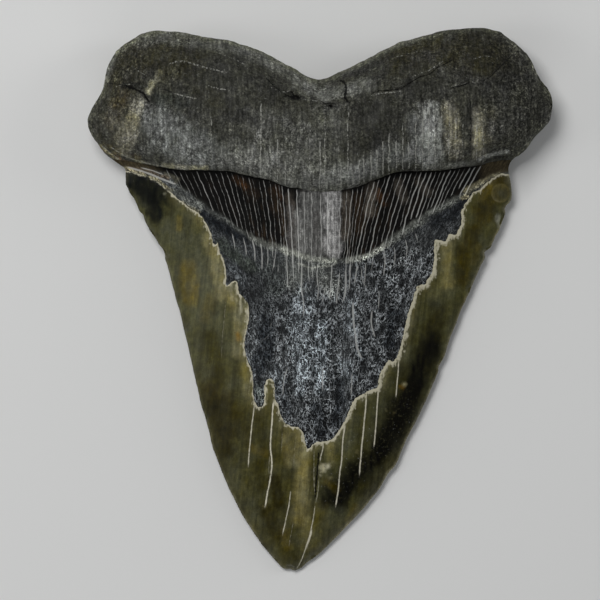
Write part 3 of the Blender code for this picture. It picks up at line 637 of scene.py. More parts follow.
BACK_CROWN_MARKS = [
    ("grey olive", 0.75, 44, 0.9, [(230, 210), (300, 236), (380, 214)]),
    ("horn pale", 0.35, 26, 0.9, [(262, 260), (300, 300), (350, 262)]),
    ("grey olive", 0.60, 20, 0.9, [(300, 400), (296, 450), (300, 500)]),
    ("straw", 0.40, 9, 0.9, [(214, 250), (222, 300), (232, 340)]),
    ("straw", 0.35, 8, 0.9, [(404, 290), (392, 330), (384, 370)]),
    ("gold", 0.50, 16, 0.9, [(470, 190), (462, 240), (446, 290)]),
    ("ochre", 0.40, 14, 0.9, [(186, 240), (196, 300)]),
    ("dark olive", 0.55, 22, 0.9, [(240, 300), (236, 360), (246, 420)]),
    ("green black", 0.50, 16, 0.9, [(150, 190), (176, 216)]),
    ("brown black", 0.50, 18, 0.9, [(390, 340), (380, 392), (362, 440)]),
    ("buff", 0.40, 16, 0.9, [(316, 300), (312, 380), (304, 460)]),
    ("umber olive", 0.45, 16, 0.9, [(282, 480), (290, 530)]),
    ("grey olive", 0.30, 10, 0.9, [(420, 250), (404, 300)]),
]


# =====================================================================
# Small tools
# =====================================================================
def smooth_curve(points, steps=10):
    p = np.array(points, dtype=float)
    ext = np.vstack([2 * p[0] - p[1], p, 2 * p[-1] - p[-2]])
    out = []
    for i in range(len(p) - 1):
        a, b, c, d = ext[i:i + 4]
        for k in range(steps):
            t = k / steps
            out.append(0.5 * ((2 * b) + (c - a) * t
                              + (2 * a - 5 * b + 4 * c - d) * t * t
                              + (3 * b - a - 3 * c + d) * t ** 3))
    out.append(p[-1])
    return np.array(out)


def resample(curve, spacing):
    step = np.hypot(*np.diff(curve, axis=0).T)
    s = np.concatenate([[0], np.cumsum(step)])
    n = max(2, int(round(s[-1] / spacing)) + 1)
    f = np.linspace(0, s[-1], n)
    return np.stack([np.interp(f, s, curve[:, 0]),
                     np.interp(f, s, curve[:, 1])], axis=-1), f


def normals(curve):
    """Left-hand normals of an open line of points."""
    t = np.gradient(curve, axis=0)
    t /= np.maximum(np.hypot(t[:, 0], t[:, 1]), 1e-9)[:, None]
    return np.stack([-t[:, 1], t[:, 0]], axis=-1)


def eased(table, value):
    xs, ys = (np.array(c, dtype=float) for c in table)
    slope = np.diff(ys) / np.diff(xs)
    m = np.zeros(len(xs))
    m[0], m[-1] = slope[0], slope[-1]
    for i in range(1, len(xs) - 1):
        if slope[i - 1] * slope[i] > 0:
            m[i] = 2 * slope[i - 1] * slope[i] / (slope[i - 1] + slope[i])
    v = np.clip(value, xs[0], xs[-1])
    i = np.clip(np.searchsorted(xs, v, side="right") - 1, 0, len(xs) - 2)
    h = xs[i + 1] - xs[i]
    t = (v - xs[i]) / h
    return ((2 * t ** 3 - 3 * t ** 2 + 1) * ys[i] + (t ** 3 - 2 * t ** 2 + t)
            * h * m[i] + (-2 * t ** 3 + 3 * t ** 2) * ys[i + 1]
            + (t ** 3 - t ** 2) * h * m[i + 1])


def smoothstep(a, b, v):
    t = np.clip((v - a) / (b - a), 0, 1)
    return t * t * (3 - 2 * t)


def lattice(ix, iy, seed):
    n = (ix * 374761393 + iy * 668265263 + seed * 2147483647) & 0xFFFFFFFF
    n = ((n ^ (n >> 13)) * 1274126177) & 0xFFFFFFFF
    n = n ^ (n >> 16)
    return (n & 0xFFFF) / 65535.0


def noise(x, y, seed=0):
    """Smooth gradient noise, about -1 to 1."""
    x, y = np.asarray(x, dtype=float), np.asarray(y, dtype=float)
    x, y = 0.92 * x - 0.39 * y + 0.5, 0.39 * x + 0.92 * y + 0.5
    ix, iy = np.floor(x).astype(np.int64), np.floor(y).astype(np.int64)
    fx, fy = x - ix, y - iy
    sx = fx * fx * fx * (fx * (fx * 6 - 15) + 10)
    sy = fy * fy * fy * (fy * (fy * 6 - 15) + 10)

    def corner(i, j):
        a = lattice(ix + i, iy + j, seed) * 2 * math.pi
        return np.cos(a) * (fx - i) + np.sin(a) * (fy - j)

    top = corner(0, 0) * (1 - sx) + corner(1, 0) * sx
    low = corner(0, 1) * (1 - sx) + corner(1, 1) * sx
    return 1.5 * (top * (1 - sy) + low * sy)


def fbm(x, y, octaves=4, seed=0):
    total, amp, norm = 0.0, 1.0, 0.0
    for k in range(octaves):
        total = total + amp * noise(x * 2 ** k + 17.3 * k, y * 2 ** k - 9.1 * k,
                                    seed + 31 * k)
        norm += amp
        amp *= 0.5
    return total / norm


class Line:
    """Nearest distance to a dense line of points."""

    def __init__(self, pts, closed=False):
        self.p = np.asarray(pts, dtype=float)
        self.closed = closed
        self.tree = KDTree(len(self.p))
        for i, q in enumerate(self.p):
            self.tree.insert((q[0], q[1], 0.0), i)
        self.tree.balance()

    def nearest(self, pts):
        n = len(self.p)
        idx = np.array([self.tree.find((q[0], q[1], 0.0))[1] for q in pts],
                       dtype=np.int64)
        best = np.full(len(pts), np.inf)
        for off in (-1, 0):
            a = (idx + off) % n if self.closed else np.clip(idx + off, 0, n - 2)
            b = (a + 1) % n
            pa, pb = self.p[a], self.p[b]
            e = pb - pa
            ll = np.maximum((e ** 2).sum(1), 1e-12)
            t = np.clip(((pts - pa) * e).sum(1) / ll, 0, 1)
            best = np.minimum(best, np.hypot(*(pts - pa - t[:, None] * e).T))
        return best, idx


def inside(poly, pts):
    """Which points lie inside the polygon."""
    x, y = pts[:, 0], pts[:, 1]
    res = np.zeros(len(pts), dtype=bool)
    a, b = poly, np.roll(poly, -1, axis=0)
    order = np.argsort(y)
    ys = y[order]
    for (ax, ay), (bx, by) in zip(a, b):
        if ay == by:
            continue
        lo, hi = (ay, by) if ay < by else (by, ay)
        i0, i1 = np.searchsorted(ys, lo), np.searchsorted(ys, hi)
        if i0 == i1:
            continue
        k = order[i0:i1]
        cross = ax + (y[k] - ay) * (bx - ax) / (by - ay)
        res[k] ^= x[k] < cross
    return res


# =====================================================================
# Curves of the drawing
# =====================================================================
def rough(curve, spacing, amount, scale, seed, taper=4.0):
    """A curve resampled and made uneven, its ends kept."""
    pts, s = resample(curve, spacing)
    n = normals(pts)
    off = amount * (noise(s / scale, 0 * s, seed)
                    + 0.5 * noise(s / scale * 2.3, 0 * s + 5, seed + 3))
    off *= np.clip(np.minimum(s, s[-1] - s) / taper, 0, 1)
    return pts + n * off[:, None]


def cutting_edge(points, side, seed):
    """The crown's edge: fine worn serrations and nicks."""
    pts, s = resample(smooth_curve(points), 0.70)
    n = normals(pts) * side
    wear = 0.55 + 0.45 * noise(s / 26, 0 * s, seed)
    phase = s / 2.8 + 0.35 * noise(s / 9, 0 * s + 3, seed)
    saw = 1 - np.abs(2 * (phase - np.floor(phase)) - 1) * 2
    off = 0.26 * wear * saw + 0.22 * noise(s / 5.5, 0 * s + 8, seed)
    off += 0.35 * noise(s / 19, 0 * s + 1, seed + 5)
    off *= np.clip(np.minimum(s, s[-1] - s) / 5.0, 0, 1)
    return pts + n * off[:, None]


edge_left = cutting_edge(LEFT_CROWN, -1, 11)
edge_right = cutting_edge(RIGHT_CROWN, 1, 12)
band_left = resample(smooth_curve(LEFT_BAND), 1.0)[0]
band_right = resample(smooth_curve(RIGHT_BAND), 1.0)[0]
lobe_left = rough(smooth_curve(LEFT_LOBE), 1.1, 0.30, 5.0, 21)
lobe_right = rough(smooth_curve(RIGHT_LOBE), 1.1, 0.30, 5.0, 22)
margin = rough(smooth_curve(ROOT_MARGIN), 1.1, 0.28, 5.5, 23)
tip = resample(smooth_curve(TIP), 0.7)[0]
ring = [edge_left, band_left, lobe_left, margin, lobe_right[::-1],
        band_right[::-1], edge_right[::-1], tip[::-1]]
outline = np.vstack([c[:-1] for c in ring])
lip = rough(smooth_curve(LIP), 1.2, 0.30, 6.0, 31)
peel = rough(smooth_curve(PEEL, 8), 0.85, 0.62, 2.9, 32)
i_lip = (len(edge_left) - 1 + len(band_left) - 1,
         len(edge_left) + len(band_left) + len(lobe_left) + len(margin)
         + len(lobe_right) - 5)
i_peel = (len(edge_left) - 1, i_lip[1] + len(band_right) - 1)
for line, (i, j) in ((lip, i_lip), (peel, i_peel)):
    assert np.hypot(*(line[0] - outline[i])) < 0.02, (line[0], outline[i])
    assert np.hypot(*(line[-1] - outline[j])) < 0.02, (line[-1], outline[j])

smooth_left = np.vstack([smooth_curve(LEFT_CROWN), smooth_curve(LEFT_BAND),
                         smooth_curve(LEFT_LOBE[:7])])
smooth_right = np.vstack([smooth_curve(RIGHT_CROWN), smooth_curve(RIGHT_BAND),
                          smooth_curve(RIGHT_LOBE[:9])])


def by_y(c):
    order = np.argsort(c[:, 1], kind="stable")
    return c[order, 1], c[order, 0]


def by_x(c):
    return c[np.argsort(c[:, 0], kind="stable")]


def evened(ys, xs, half):
    """A table along y without its small notches."""
    grid = np.arange(20.0, 582.0)
    v = np.interp(grid, ys, xs)
    wide = np.concatenate([2 * v[0] - v[half:0:-1], v,
                           2 * v[-1] - v[-2:-half - 2:-1]])
    kernel = np.hanning(2 * half + 3)[1:-1]
    return grid, np.convolve(wide, kernel / kernel.sum(), "valid")


side_l, side_r = (evened(*by_y(c), 20) for c in (smooth_left, smooth_right))
lip_line = smooth_curve(LIP)
lower_margin = by_x(np.vstack([smooth_curve(LEFT_LOBE[:8]), lip_line,
                               smooth_curve(RIGHT_LOBE[:9])]))
upper_margin = by_x(np.vstack([smooth_curve(LEFT_LOBE[7:]),
                               smooth_curve(ROOT_MARGIN),
                               smooth_curve(RIGHT_LOBE[8:])]))
band_line = smooth_curve(BAND_LOWER)


# =====================================================================
# Base heights, in metres
# =====================================================================
def span(x, y):
    xl, xr = np.interp(y, *side_l), np.interp(y, *side_r)
    return np.clip((2 * x - xl - xr) / np.maximum(xr - xl, 1e-6), -1, 1)


def edge_height(y):
    return eased(EDGE_HEIGHT, y) * 1e-3


def lip_y(x):
    return np.interp(x, lip_line[:, 0], lip_line[:, 1])


def band_y(x):
    return np.interp(x, band_line[:, 0], band_line[:, 1])


crown_middle = evened(np.arange(150.0, 573.0),
                      eased(CROWN_CENTRE, np.arange(150.0, 573.0)), 16)


def settled(z, y, d):
    """The surface brought down to the edge's own height."""
    edge = edge_height(y)
    return edge + (z - edge) * np.clip(0.25 + d / 4.0, 0, 1)


def crown_front(x, y):
    edge = edge_height(y)
    top = np.interp(y, *crown_middle) * CROWN_THICKNESS
    z = edge + (top - edge) * (1 - span(x, y) ** 2) ** EDGE_SHARPNESS
    y0, y1 = band_y(x), lip_y(x) + 2.5
    t = np.clip((y0 - y) / np.maximum(y0 - y1, 1.0), 0, 1)
    return z - BAND_HOLLOW * smoothstep(2, 30, y0 - y1) * 4 * t * (1 - t)


def root_front(x, y, d):
    edge = edge_height(y)
    low = np.interp(x, lower_margin[:, 0], lower_margin[:, 1])
    high = np.interp(x, upper_margin[:, 0], upper_margin[:, 1])
    w = np.clip((low - y) / np.maximum(low - high, 1.0), 0, 1)
    body = eased(ROOT_RIDGE, x) * ROOT_THICKNESS * eased(ROOT_SECTION, w)
    foot = lip_y(x)
    at_lip = crown_front(x, foot + 2.5) + eased(LIP_SHARE, x) * LIP_STEP
    near = (1 - np.clip((foot - y) / LIP_ROLL, 0, 1)) ** 2.2
    body = body + (at_lip - body) * near
    t = np.clip(d * UNIT / RIM_FRONT, 0, 1)
    return edge + (body - edge) * np.sqrt(1 - (1 - t) ** 2)


def back_height(x, y, d):
    edge = edge_height(y)
    lift = np.ones_like(x)
    for (cx, cy), (ax, ay) in RESTS:
        q = np.hypot((x - cx) / ax, (y - cy) / ay)
        rise = np.maximum(q - 1, 0) ** 2
        lift = lift * (rise / (rise + 0.9))
    lift = np.minimum(lift * BACK_RISE, edge * 0.9)
    blade = 1 - np.abs(span(x, y)) ** 3.2
    t = np.clip(d * UNIT / RIM_BACK, 0, 1)
    lobe = np.sqrt(1 - (1 - t) ** 2)
    mix = smoothstep(195, 150, y)
    return edge - (edge - lift) * (blade + (lobe - blade) * mix)


def origin_of_stria(x, y):
    """Where the band's line through this point leaves the lip."""
    slope = ([150, 200, 230, 255, 285, 300, 345, 355, 380, 440, 465, 500],
             [0.62, 0.46, 0.33, 0.20, 0.10, 0.03, -0.04, -0.14, -0.33, -0.42,
              -0.58, -0.66])
    x0 = x.copy()
    for _ in range(4):
        drop = np.maximum(y - lip_y(x0), -4)
        reach = drop / (1 + drop / 260.0)      # the lines straighten downwards
        x0 = x - eased(slope, x0) * reach
    return x0


# =====================================================================
# Points of the front sheet
# =====================================================================
def hexes(spacing, seed, box=(84, 24, 556, 574), jitter=0.16):
    rng = np.random.default_rng(seed)
    xs = np.arange(box[0], box[2], spacing)
    ys = np.arange(box[1], box[3], spacing * math.sqrt(3) / 2)
    gx, gy = np.meshgrid(xs, ys)
    gx = gx + (np.arange(len(ys)) % 2)[:, None] * spacing / 2
    p = np.stack([gx.ravel(), gy.ravel()], 1)
    return p + rng.uniform(-jitter, jitter, p.shape) * spacing


def along_line(points, spacing, half):
    """Three rows of points along a line, and how much each is on it."""
    c = resample(smooth_curve(points, 8), spacing)[0]
    n = normals(c)
    return c, c + n * half, c - n * half


outline_line = Line(outline, closed=True)
lip_l = Line(lip)
peel_l = Line(peel)
dentine_ring = np.vstack([peel, outline[i_peel[1]:i_lip[1]:-1], lip[::-1],
                          outline[i_lip[0]:i_peel[0]:-1]])
lip_ring = np.vstack([lip, outline[i_lip[1]:i_lip[0]:-1]])


def region_of(pts):
    """0 root, 1 bare dentine and band, 2 enamel."""
    r = np.full(len(pts), 2)
    r[inside(dentine_ring, pts)] = 1
    r[inside(lip_ring, pts)] = 0
    return r


class Sheet:
    """Collects points that keep a distance from each other."""

    def __init__(self):
        self.pts, self.keep = [], []

    def add(self, pts, clear):
        if len(pts):
            self.pts.append(pts)
            self.keep.append(np.full(len(pts), float(clear)))

    def scatter(self, pts, clear):
        """Adds the points that lie clear of all that is there."""
        if not len(pts):
            return
        all_p, all_c = np.vstack(self.pts), np.concatenate(self.keep)
        tree = KDTree(len(all_p))
        for i, q in enumerate(all_p):
            tree.insert((q[0], q[1], 0.0), i)
        tree.balance()
        ok = np.ones(len(pts), dtype=bool)
        for i, q in enumerate(pts):
            _, j, dist = tree.find((q[0], q[1], 0.0))
            ok[i] = dist > max(clear, all_c[j])
        self.add(pts[ok], clear)


front = Sheet()
front.add(outline, 0.3)
front.add(lip[1:-1], 0.6)
front.add(peel[1:-1], 0.5)
n_fixed = sum(len(p) for p in front.pts)

# thin lines: (centre row, flank rows, half width, strength, kind)
features = []
for pts, half, strength in CRACKS:
    features.append(("white", pts, 1.28 * half, strength, 1.3))
for pts, half, strength in VEINS:
    features.append(("vein", pts, 1.30 * half, 1.25 * strength, 1.3))
for pts, half, strength in ROOT_CRACKS:
    features.append(("root", pts, 1.45 * half, strength, 1.2))
features.append(("dots", DARK_CRACK, 1.15, 1.1, 1.0))
for pts, half, strength in ROOT_DOTS:
    features.append(("pale", pts, half, 0.82 * strength, 1.4))
for k, (sx, sy, half, strength) in enumerate(ROOT_STREAKS):
    sy_end = np.interp(sx, *np.array(LIP, dtype=float).T) + 1.2
    ys = np.arange(sy, sy_end, 3.0)
    xs = sx + 0.8 * noise(ys / 11, 0 * ys + k * 2.9, 43)
    xs += 0.3 * noise(ys / 4, 0 * ys + k, 44)
    xs += (sx - xs[-1]) * smoothstep(sy, sy_end, ys)
    if len(ys) > 2:
        mid = smoothstep(280, 292, sx) * smoothstep(440, 400, sx)
        features.append(("pale", list(zip(xs, ys)), half,
                         min(1.0, strength * (1 + 0.5 * mid)), 1.4))


def stria_path(x0, k):
    """The band's line that leaves the lip at x0, found by marching down."""
    start = lip_y(np.array([x0]))[0]
    rnd = lattice(np.int64(k), np.int64(7), 5)
    rnd2 = lattice(np.int64(k), np.int64(9), 6)
    ys = np.arange(start + 0.9, start + 110, 1.0)
    slope = ([150, 200, 230, 255, 285, 300, 345, 355, 380, 440, 465, 500],
             [0.62, 0.46, 0.33, 0.20, 0.10, 0.03, -0.04, -0.14, -0.33,
              -0.42, -0.58, -0.66])
    drop = ys - start
    m = eased(slope, np.full(len(ys), float(x0)))
    xs = x0 + m * drop / (1 + drop / 260.0)
    xs = xs + (0.80 * noise(ys / 15, 0 * ys + k * 3.7, 41)
               + 0.46 * noise(ys / 5.0, 0 * ys + k * 1.7, 42)) \
        * np.clip(drop / 6, 0, 1)
    beyond = smoothstep(225, 262, x0) * smoothstep(440, 380, x0)
    extra = (rnd - 0.65) * (4 + 8 * (1 - beyond)) + (4 + 22 * beyond) * rnd2 ** 2
    ok = ys < band_y(xs) + extra
    if ok.sum() < 4:
        return None
    return np.stack([xs[ok], ys[ok]], 1)


stria = []
for k, x0 in enumerate(STRIA):
    path = stria_path(x0, k)
    if path is not None and len(path) > 4:
        rnd = lattice(np.int64(k), np.int64(3), 8)
        near_end = smoothstep(390, 410, x0)
        pale = smoothstep(280, 290, x0) * smoothstep(350, 342, x0)
        stria.append((path, 0.62 + 0.22 * rnd + 0.08 * near_end,
                      (0.46 + 0.48 * rnd + 0.30 * pale) * (1 + 0.20 * near_end)
                      * (1 - 0.14 * smoothstep(240, 220, x0))
                      * (1 - 0.32 * smoothstep(222, 232, x0)
                         * smoothstep(286, 276, x0))))

line_rows = []       # (centre, side rows) with kind and strength
for kind, pts, half, strength, spacing in features:
    c, a, b = along_line(pts, spacing, half)
    line_rows.append((kind, c, a, b, half, strength))
for path, half, strength in stria:
    c = resample(path, 1.25)[0]
    n = normals(c)
    line_rows.append(("stria", c, c + n * half, c - n * half, half, strength))

outline_region = outline_line
for kind, c, a, b, half, strength in line_rows:
    want = {"white": 2, "dots": 2, "vein": 1, "stria": 1, "root": 0,
            "pale": 0}[kind]
    for row, clear in ((c, 0.45), (a, 0.40), (b, 0.40)):
        ok = region_of(row) == want
        ok &= outline_line.nearest(row)[0] > 0.8
        ok &= peel_l.nearest(row)[0] > 0.45
        ok &= lip_l.nearest(row)[0] > 0.6
        row = row[ok]
        if len(row):
            front.scatter(row, clear)

# rows beside the root's margin, the cutting edge, the lip and the peel
n_out = normals(np.vstack([outline[-1:], outline, outline[:1]]))[1:-1]
turn = 1.0 if inside(outline, outline[50:51] + 0.05 * n_out[50:51])[0] else -1.0
is_root = np.zeros(len(outline), dtype=bool)
is_root[i_lip[0]:i_lip[1]] = True
for d0, step in ((0.14, 1), (0.5, 1), (1.1, 1), (1.9, 2), (3.0, 2), (4.6, 3)):
    row = outline + turn * n_out * d0
    if d0 < 0.4:
        row = row[is_root]
    row = row[::step]
    ok = outline_line.nearest(row)[0] > 0.85 * d0
    ok &= inside(outline, row)
    ok &= lip_l.nearest(row)[0] > 0.5
    ok &= peel_l.nearest(row)[0] > 0.5
    front.scatter(row[ok], 0.55 * min(d0, 0.9))
n_lip = normals(lip)
up = -1.0 if (n_lip[len(n_lip) // 2, 1] > 0) else 1.0
for d0, step in ((0.5, 1), (1.1, 1), (2.0, 1), (3.4, 2)):
    row = (lip + up * n_lip * d0)[::step]
    ok = (lip_l.nearest(row)[0] > 0.85 * d0) & (region_of(row) == 0)
    ok &= outline_line.nearest(row)[0] > 0.6
    front.scatter(row[ok], 0.55 * min(d0, 1.0))
row = (lip - up * n_lip * 0.9)
ok = (lip_l.nearest(row)[0] > 0.6) & (region_of(row) > 0)
ok &= (outline_line.nearest(row)[0] > 0.6) & (peel_l.nearest(row)[0] > 0.6)
front.scatter(row[ok], 0.5)
n_peel = normals(peel)
for side in (-1.0, 1.0):
    for d0, step in ((0.55, 1), (1.15, 1), (1.9, 1), (2.8, 2)):
        row = (peel + side * n_peel * d0)[::step]
        reg = region_of(row)
        ok = (peel_l.nearest(row)[0] > 0.85 * d0) & (reg == 2)
        ok &= (outline_line.nearest(row)[0] > 0.5)
        front.scatter(row[ok], 0.5 * min(d0, 1.1))


def circles(centre, radii, spacing):
    rows = []
    for k, r in enumerate(radii):
        n = max(1, int(round(2 * math.pi * r / spacing)))
        a = (np.arange(n) + 0.5 * (k % 2)) * 2 * math.pi / n
        rows.append(np.stack([centre[0] + r * np.cos(a),
                              centre[1] + r * np.sin(a)], 1))
    return np.vstack(rows)


for centre, radius, _ in ROOT_PITS:
    front.scatter(circles(centre, (0, 0.8, 1.6, 2.4, 3.3), 0.95), 0.35)
rings = circles(SPOT[0], (8.4, 9.2, 9.9, 10.8), 1.1)
rings = rings[inside(outline, rings) & (region_of(rings) == 2)]
rings = rings[(outline_line.nearest(rings)[0] > 0.7)
              & (peel_l.nearest(rings)[0] > 0.8)]
front.scatter(rings, 0.5)

for region, spacing, seed in ((1, 1.42, 1), (0, 2.25, 2), (2, 2.2, 3)):
    p = hexes(spacing, seed)
    p = p[inside(outline, p)]
    p = p[region_of(p) == region]
    p = p[outline_line.nearest(p)[0] > 0.45 * spacing]
    front.scatter(p, 0.62 * spacing)

front_pts = np.vstack(front.pts)
n_ring = len(outline)
lip_ids = np.arange(n_ring, n_ring + len(lip) - 2)
peel_ids = np.arange(n_ring + len(lip) - 2,
                     n_ring + len(lip) - 2 + len(peel) - 2)
lip_chain = np.concatenate([[i_lip[0]], lip_ids, [i_lip[1]]])
peel_chain = np.concatenate([[i_peel[0]], peel_ids, [i_peel[1]]])
chains = [(int(a), int(b)) for ch in (lip_chain, peel_chain)
          for a, b in zip(ch[:-1], ch[1:])]


def triangulate(pts, edges, n_ring):
    vs, es, fs, ov, oe, of = delaunay_2d_cdt(
        [Vector((float(p[0]), float(p[1]))) for p in pts], edges,
        [list(range(n_ring))], 1, 1e-6, True)
    vs = np.array([(v.x, v.y) for v in vs])
    tri = np.array([f for f in fs if len(f) == 3], dtype=np.int64)
    source = np.full(len(vs), -1)
    for i, o in enumerate(ov):
        if o:
            source[i] = o[0]
    a, b, c = vs[tri[:, 0]], vs[tri[:, 1]], vs[tri[:, 2]]
    area = ((b - a)[:, 0] * (c - a)[:, 1] - (b - a)[:, 1] * (c - a)[:, 0])
    tri[area > 0] = tri[area > 0][:, ::-1]   # y runs down, so faces look up
    return vs, tri[inside(outline, vs[tri].mean(1))], source


fv, ft, fsrc = triangulate(front_pts, chains, n_ring)
print("front", len(fv), len(ft), "added by the cuts", int((fsrc < 0).sum()))

# =====================================================================
# Points of the back sheet
# =====================================================================
rear = Sheet()
rear.add(outline, 0.3)
for d0, step in ((0.16, 1), (0.7, 2), (1.6, 2), (3.0, 3), (4.8, 4)):
    row = outline + turn * n_out * d0
    if d0 < 0.4:
        row = row[is_root]
    row = row[::step]
    ok = outline_line.nearest(row)[0] > 0.85 * d0
    ok &= inside(outline, row)
    rear.scatter(row[ok], 0.6 * min(d0, 1.6))
for pts, half, _ in BACK_CRACKS:
    c, a, b = along_line(pts, 1.2, half)
    for row, clear in ((c, 0.45), (a, 0.40), (b, 0.40)):
        rear.scatter(row[outline_line.nearest(row)[0] > 2.0], clear)
p = hexes(3.35, 9)
p = p[inside(outline, p)]
p = p[outline_line.nearest(p)[0] > 1.4]
rear.scatter(p, 2.0)
rear_pts = np.vstack(rear.pts)
bv, bt, bsrc = triangulate(rear_pts, [], n_ring)
bt = bt[:, ::-1]
print("rear", len(bv), len(bt))

# =====================================================================
# The front sheet is split at the lip and at the enamel's broken edge
# =====================================================================
place = np.full(len(front_pts), -1)
known = np.nonzero(fsrc >= 0)[0]
place[fsrc[known]] = known
lip_at, peel_at, ring_at = place[lip_chain], place[peel_chain], place[:n_ring]
n_old = len(fv)
lip_low = np.concatenate([[lip_at[0]], n_old + np.arange(len(lip_at) - 2),
                          [lip_at[-1]]])
peel_low = np.concatenate([[peel_at[0]],
                           n_old + len(lip_at) - 2 + np.arange(len(peel_at) - 2),
                           [peel_at[-1]]])
P = np.vstack([fv, fv[lip_at[1:-1]], fv[peel_at[1:-1]]])
X, Y = P[:, 0], P[:, 1]
tri_region = region_of(fv[ft].mean(1))
swap = np.arange(n_old)
swap[lip_at[1:-1]] = lip_low[1:-1]
swap[peel_at[1:-1]] = peel_low[1:-1]
front_tri = ft.copy()
front_tri[tri_region == 1] = swap[front_tri[tri_region == 1]]

REG = np.full(len(P), 2)
REG[:n_old] = region_of(fv)
REG[lip_at] = 0
REG[peel_at] = 2
ring_no = np.arange(n_ring)
REG[ring_at[(ring_no >= i_lip[0]) & (ring_no <= i_lip[1])]] = 0
REG[ring_at[(ring_no > i_peel[0]) & (ring_no < i_lip[0])]] = 1
REG[ring_at[(ring_no > i_lip[1]) & (ring_no < i_peel[1])]] = 1
REG[ring_at[(ring_no <= i_peel[0]) | (ring_no >= i_peel[1])]] = 2
REG[lip_low[1:-1]] = 1
REG[peel_low[1:-1]] = 1
on_ring = np.zeros(len(P), dtype=bool)
on_ring[ring_at] = True

D_OUT = outline_line.nearest(P)[0]
D_OUT[on_ring] = 0
D_PEEL = peel_l.nearest(P)[0]
D_LIP = lip_l.nearest(P)[0]


def line_field(pts, rows):
    """Greatest share of the thin lines at each point, 1 at their middle."""
    dense, half, weight = [], [], []
    for c, h, s in rows:
        q, f = resample(c, 0.25)
        ends = np.clip(np.minimum(f + 0.4, f[-1] - f + 0.4) / 5.0, 0, 1)
        k = len(dense) * 1.7
        live = 0.92 + 0.22 * noise(f / 6.5, 0 * f + k, 71) \
            + 0.12 * noise(f / 2.0, 0 * f + k, 72)
        dense.append(q)
        half.append(np.full(len(q), h))
        weight.append(s * ends ** 0.6 * np.clip(live, 0.15, 1.1))
    dense, half = np.vstack(dense), np.concatenate(half)
    weight = np.concatenate(weight)
    tree = KDTree(len(dense))
    for i, q in enumerate(dense):
        tree.insert((q[0], q[1], 0.0), i)
    tree.balance()
    out = np.zeros(len(pts))
    for i, q in enumerate(pts):
        _, j, dist = tree.find((q[0], q[1], 0.0))
        out[i] = weight[j] * max(0.0, 1 - dist / half[j])
    return out


LINE = {k: np.zeros(len(P))
        for k in ("white", "dots", "vein", "stria", "root", "pale")}
for kind, region in (("white", 2), ("dots", 2), ("vein", 1), ("stria", 1),
                     ("root", 0), ("pale", 0)):
    rows = [(c, h, s) for k, c, a, b, h, s in line_rows if k == kind]
    m = (REG == region) & ~on_ring
    LINE[kind][m] = line_field(P[m], rows)
# the lines of the band run into the root's grain a little way
BAND = smoothstep(1.5, -1.5, Y - band_y(X) + 1.6 * noise(X / 9, Y / 9, 51))


# =====================================================================
# Heights of the front sheet
# =====================================================================
def pattern(x, y, seed):
    """A fine net of ridges drawn out along the tooth, 0 to 1."""
    wx = x + 1.3 * noise(x / 7, y / 7, seed + 1)
    wy = y + 1.6 * noise(x / 7, y / 7, seed + 2)
    a = 1 - np.abs(noise(wx / 3.3, wy / 4.6, seed + 3)) * 2.4
    b = 1 - np.abs(noise(wx / 2.4 + 9, wy / 3.3, seed + 4)) * 2.4
    return np.clip(np.maximum(a, 0.8 * b), 0, 1)


NET = pattern(X, Y, 61)
Z = np.zeros(len(P))
m = REG == 0
x, y, d = X[m], Y[m], D_OUT[m]
z = root_front(x, y, d)
free = np.clip(d / 9, 0.12, 1)
z += free * (0.55e-3 * fbm(x / 34, y / 27, 3, 1)
             + 0.20e-3 * fbm(x / 11, y / 12, 3, 2))
z += np.clip(d / 3, 0, 1) * (0.075e-3 * fbm(x / 4.2, y / 6.0, 2, 3)
                             + 0.05e-3 * noise(x / 2.6, y / 16.0, 4))
z -= 0.9e-3 * np.exp(-((x - 333) / 17) ** 2 - ((y - 92) / 9) ** 2)
z -= 0.5e-3 * np.exp(-((x - 172) / 26) ** 2 - ((y - 98) / 7) ** 2)
z += 0.45e-3 * np.exp(-((x - 176) / 30) ** 2 - ((y - 128) / 15) ** 2)
z -= 0.26e-3 * LINE["root"][m]
z += 0.03e-3 * LINE["pale"][m]
for (cx, cy), radius, depth in ROOT_PITS:
    z -= depth * np.exp(-(np.hypot(x - cx, y - cy) / radius) ** 2)
z -= 0.42e-3 * np.clip(1 - D_LIP[m] / 2.6, 0, 1) ** 2 \
    * np.clip(eased(LIP_SHARE, x) / 0.5, 0, 1)
Z[m] = z

m = REG == 1
x, y = X[m], Y[m]
z = settled(crown_front(x, y), y, D_OUT[m])
inner = np.clip(D_OUT[m] / 5, 0, 1) * smoothstep(0.3, 2.0, D_PEEL[m] + 0.3)
ridge = y - band_y(x) - 1.0
z += 0.34e-3 * np.exp(-(ridge / 3.4) ** 2) * inner
z += 0.10e-3 * np.exp(-((y - 267) / 2.0) ** 2) * smoothstep(22, 14, np.abs(x - 317))
block = smoothstep(30, 25, np.abs(x - 314 + 0.10 * (y - 220))
                   + 2 * noise(x / 8, y / 14, 5)) * BAND[m]
z += 0.22e-3 * block
z += inner * (0.16e-3 * fbm(x / 16, y / 24, 3, 6)
              + (1 - 0.75 * BAND[m]) * 0.075e-3 * (NET[m] - 0.4)
              + (1 - 0.6 * BAND[m]) * 0.05e-3 * noise(x / 2.6, y / 2.6, 7))
u0 = origin_of_stria(x, y)
z += BAND[m] * inner * 0.045e-3 * noise(u0 / 2.2, y / 30, 8)
z += 0.085e-3 * LINE["stria"][m] + 0.05e-3 * LINE["vein"][m]
Z[m] = z

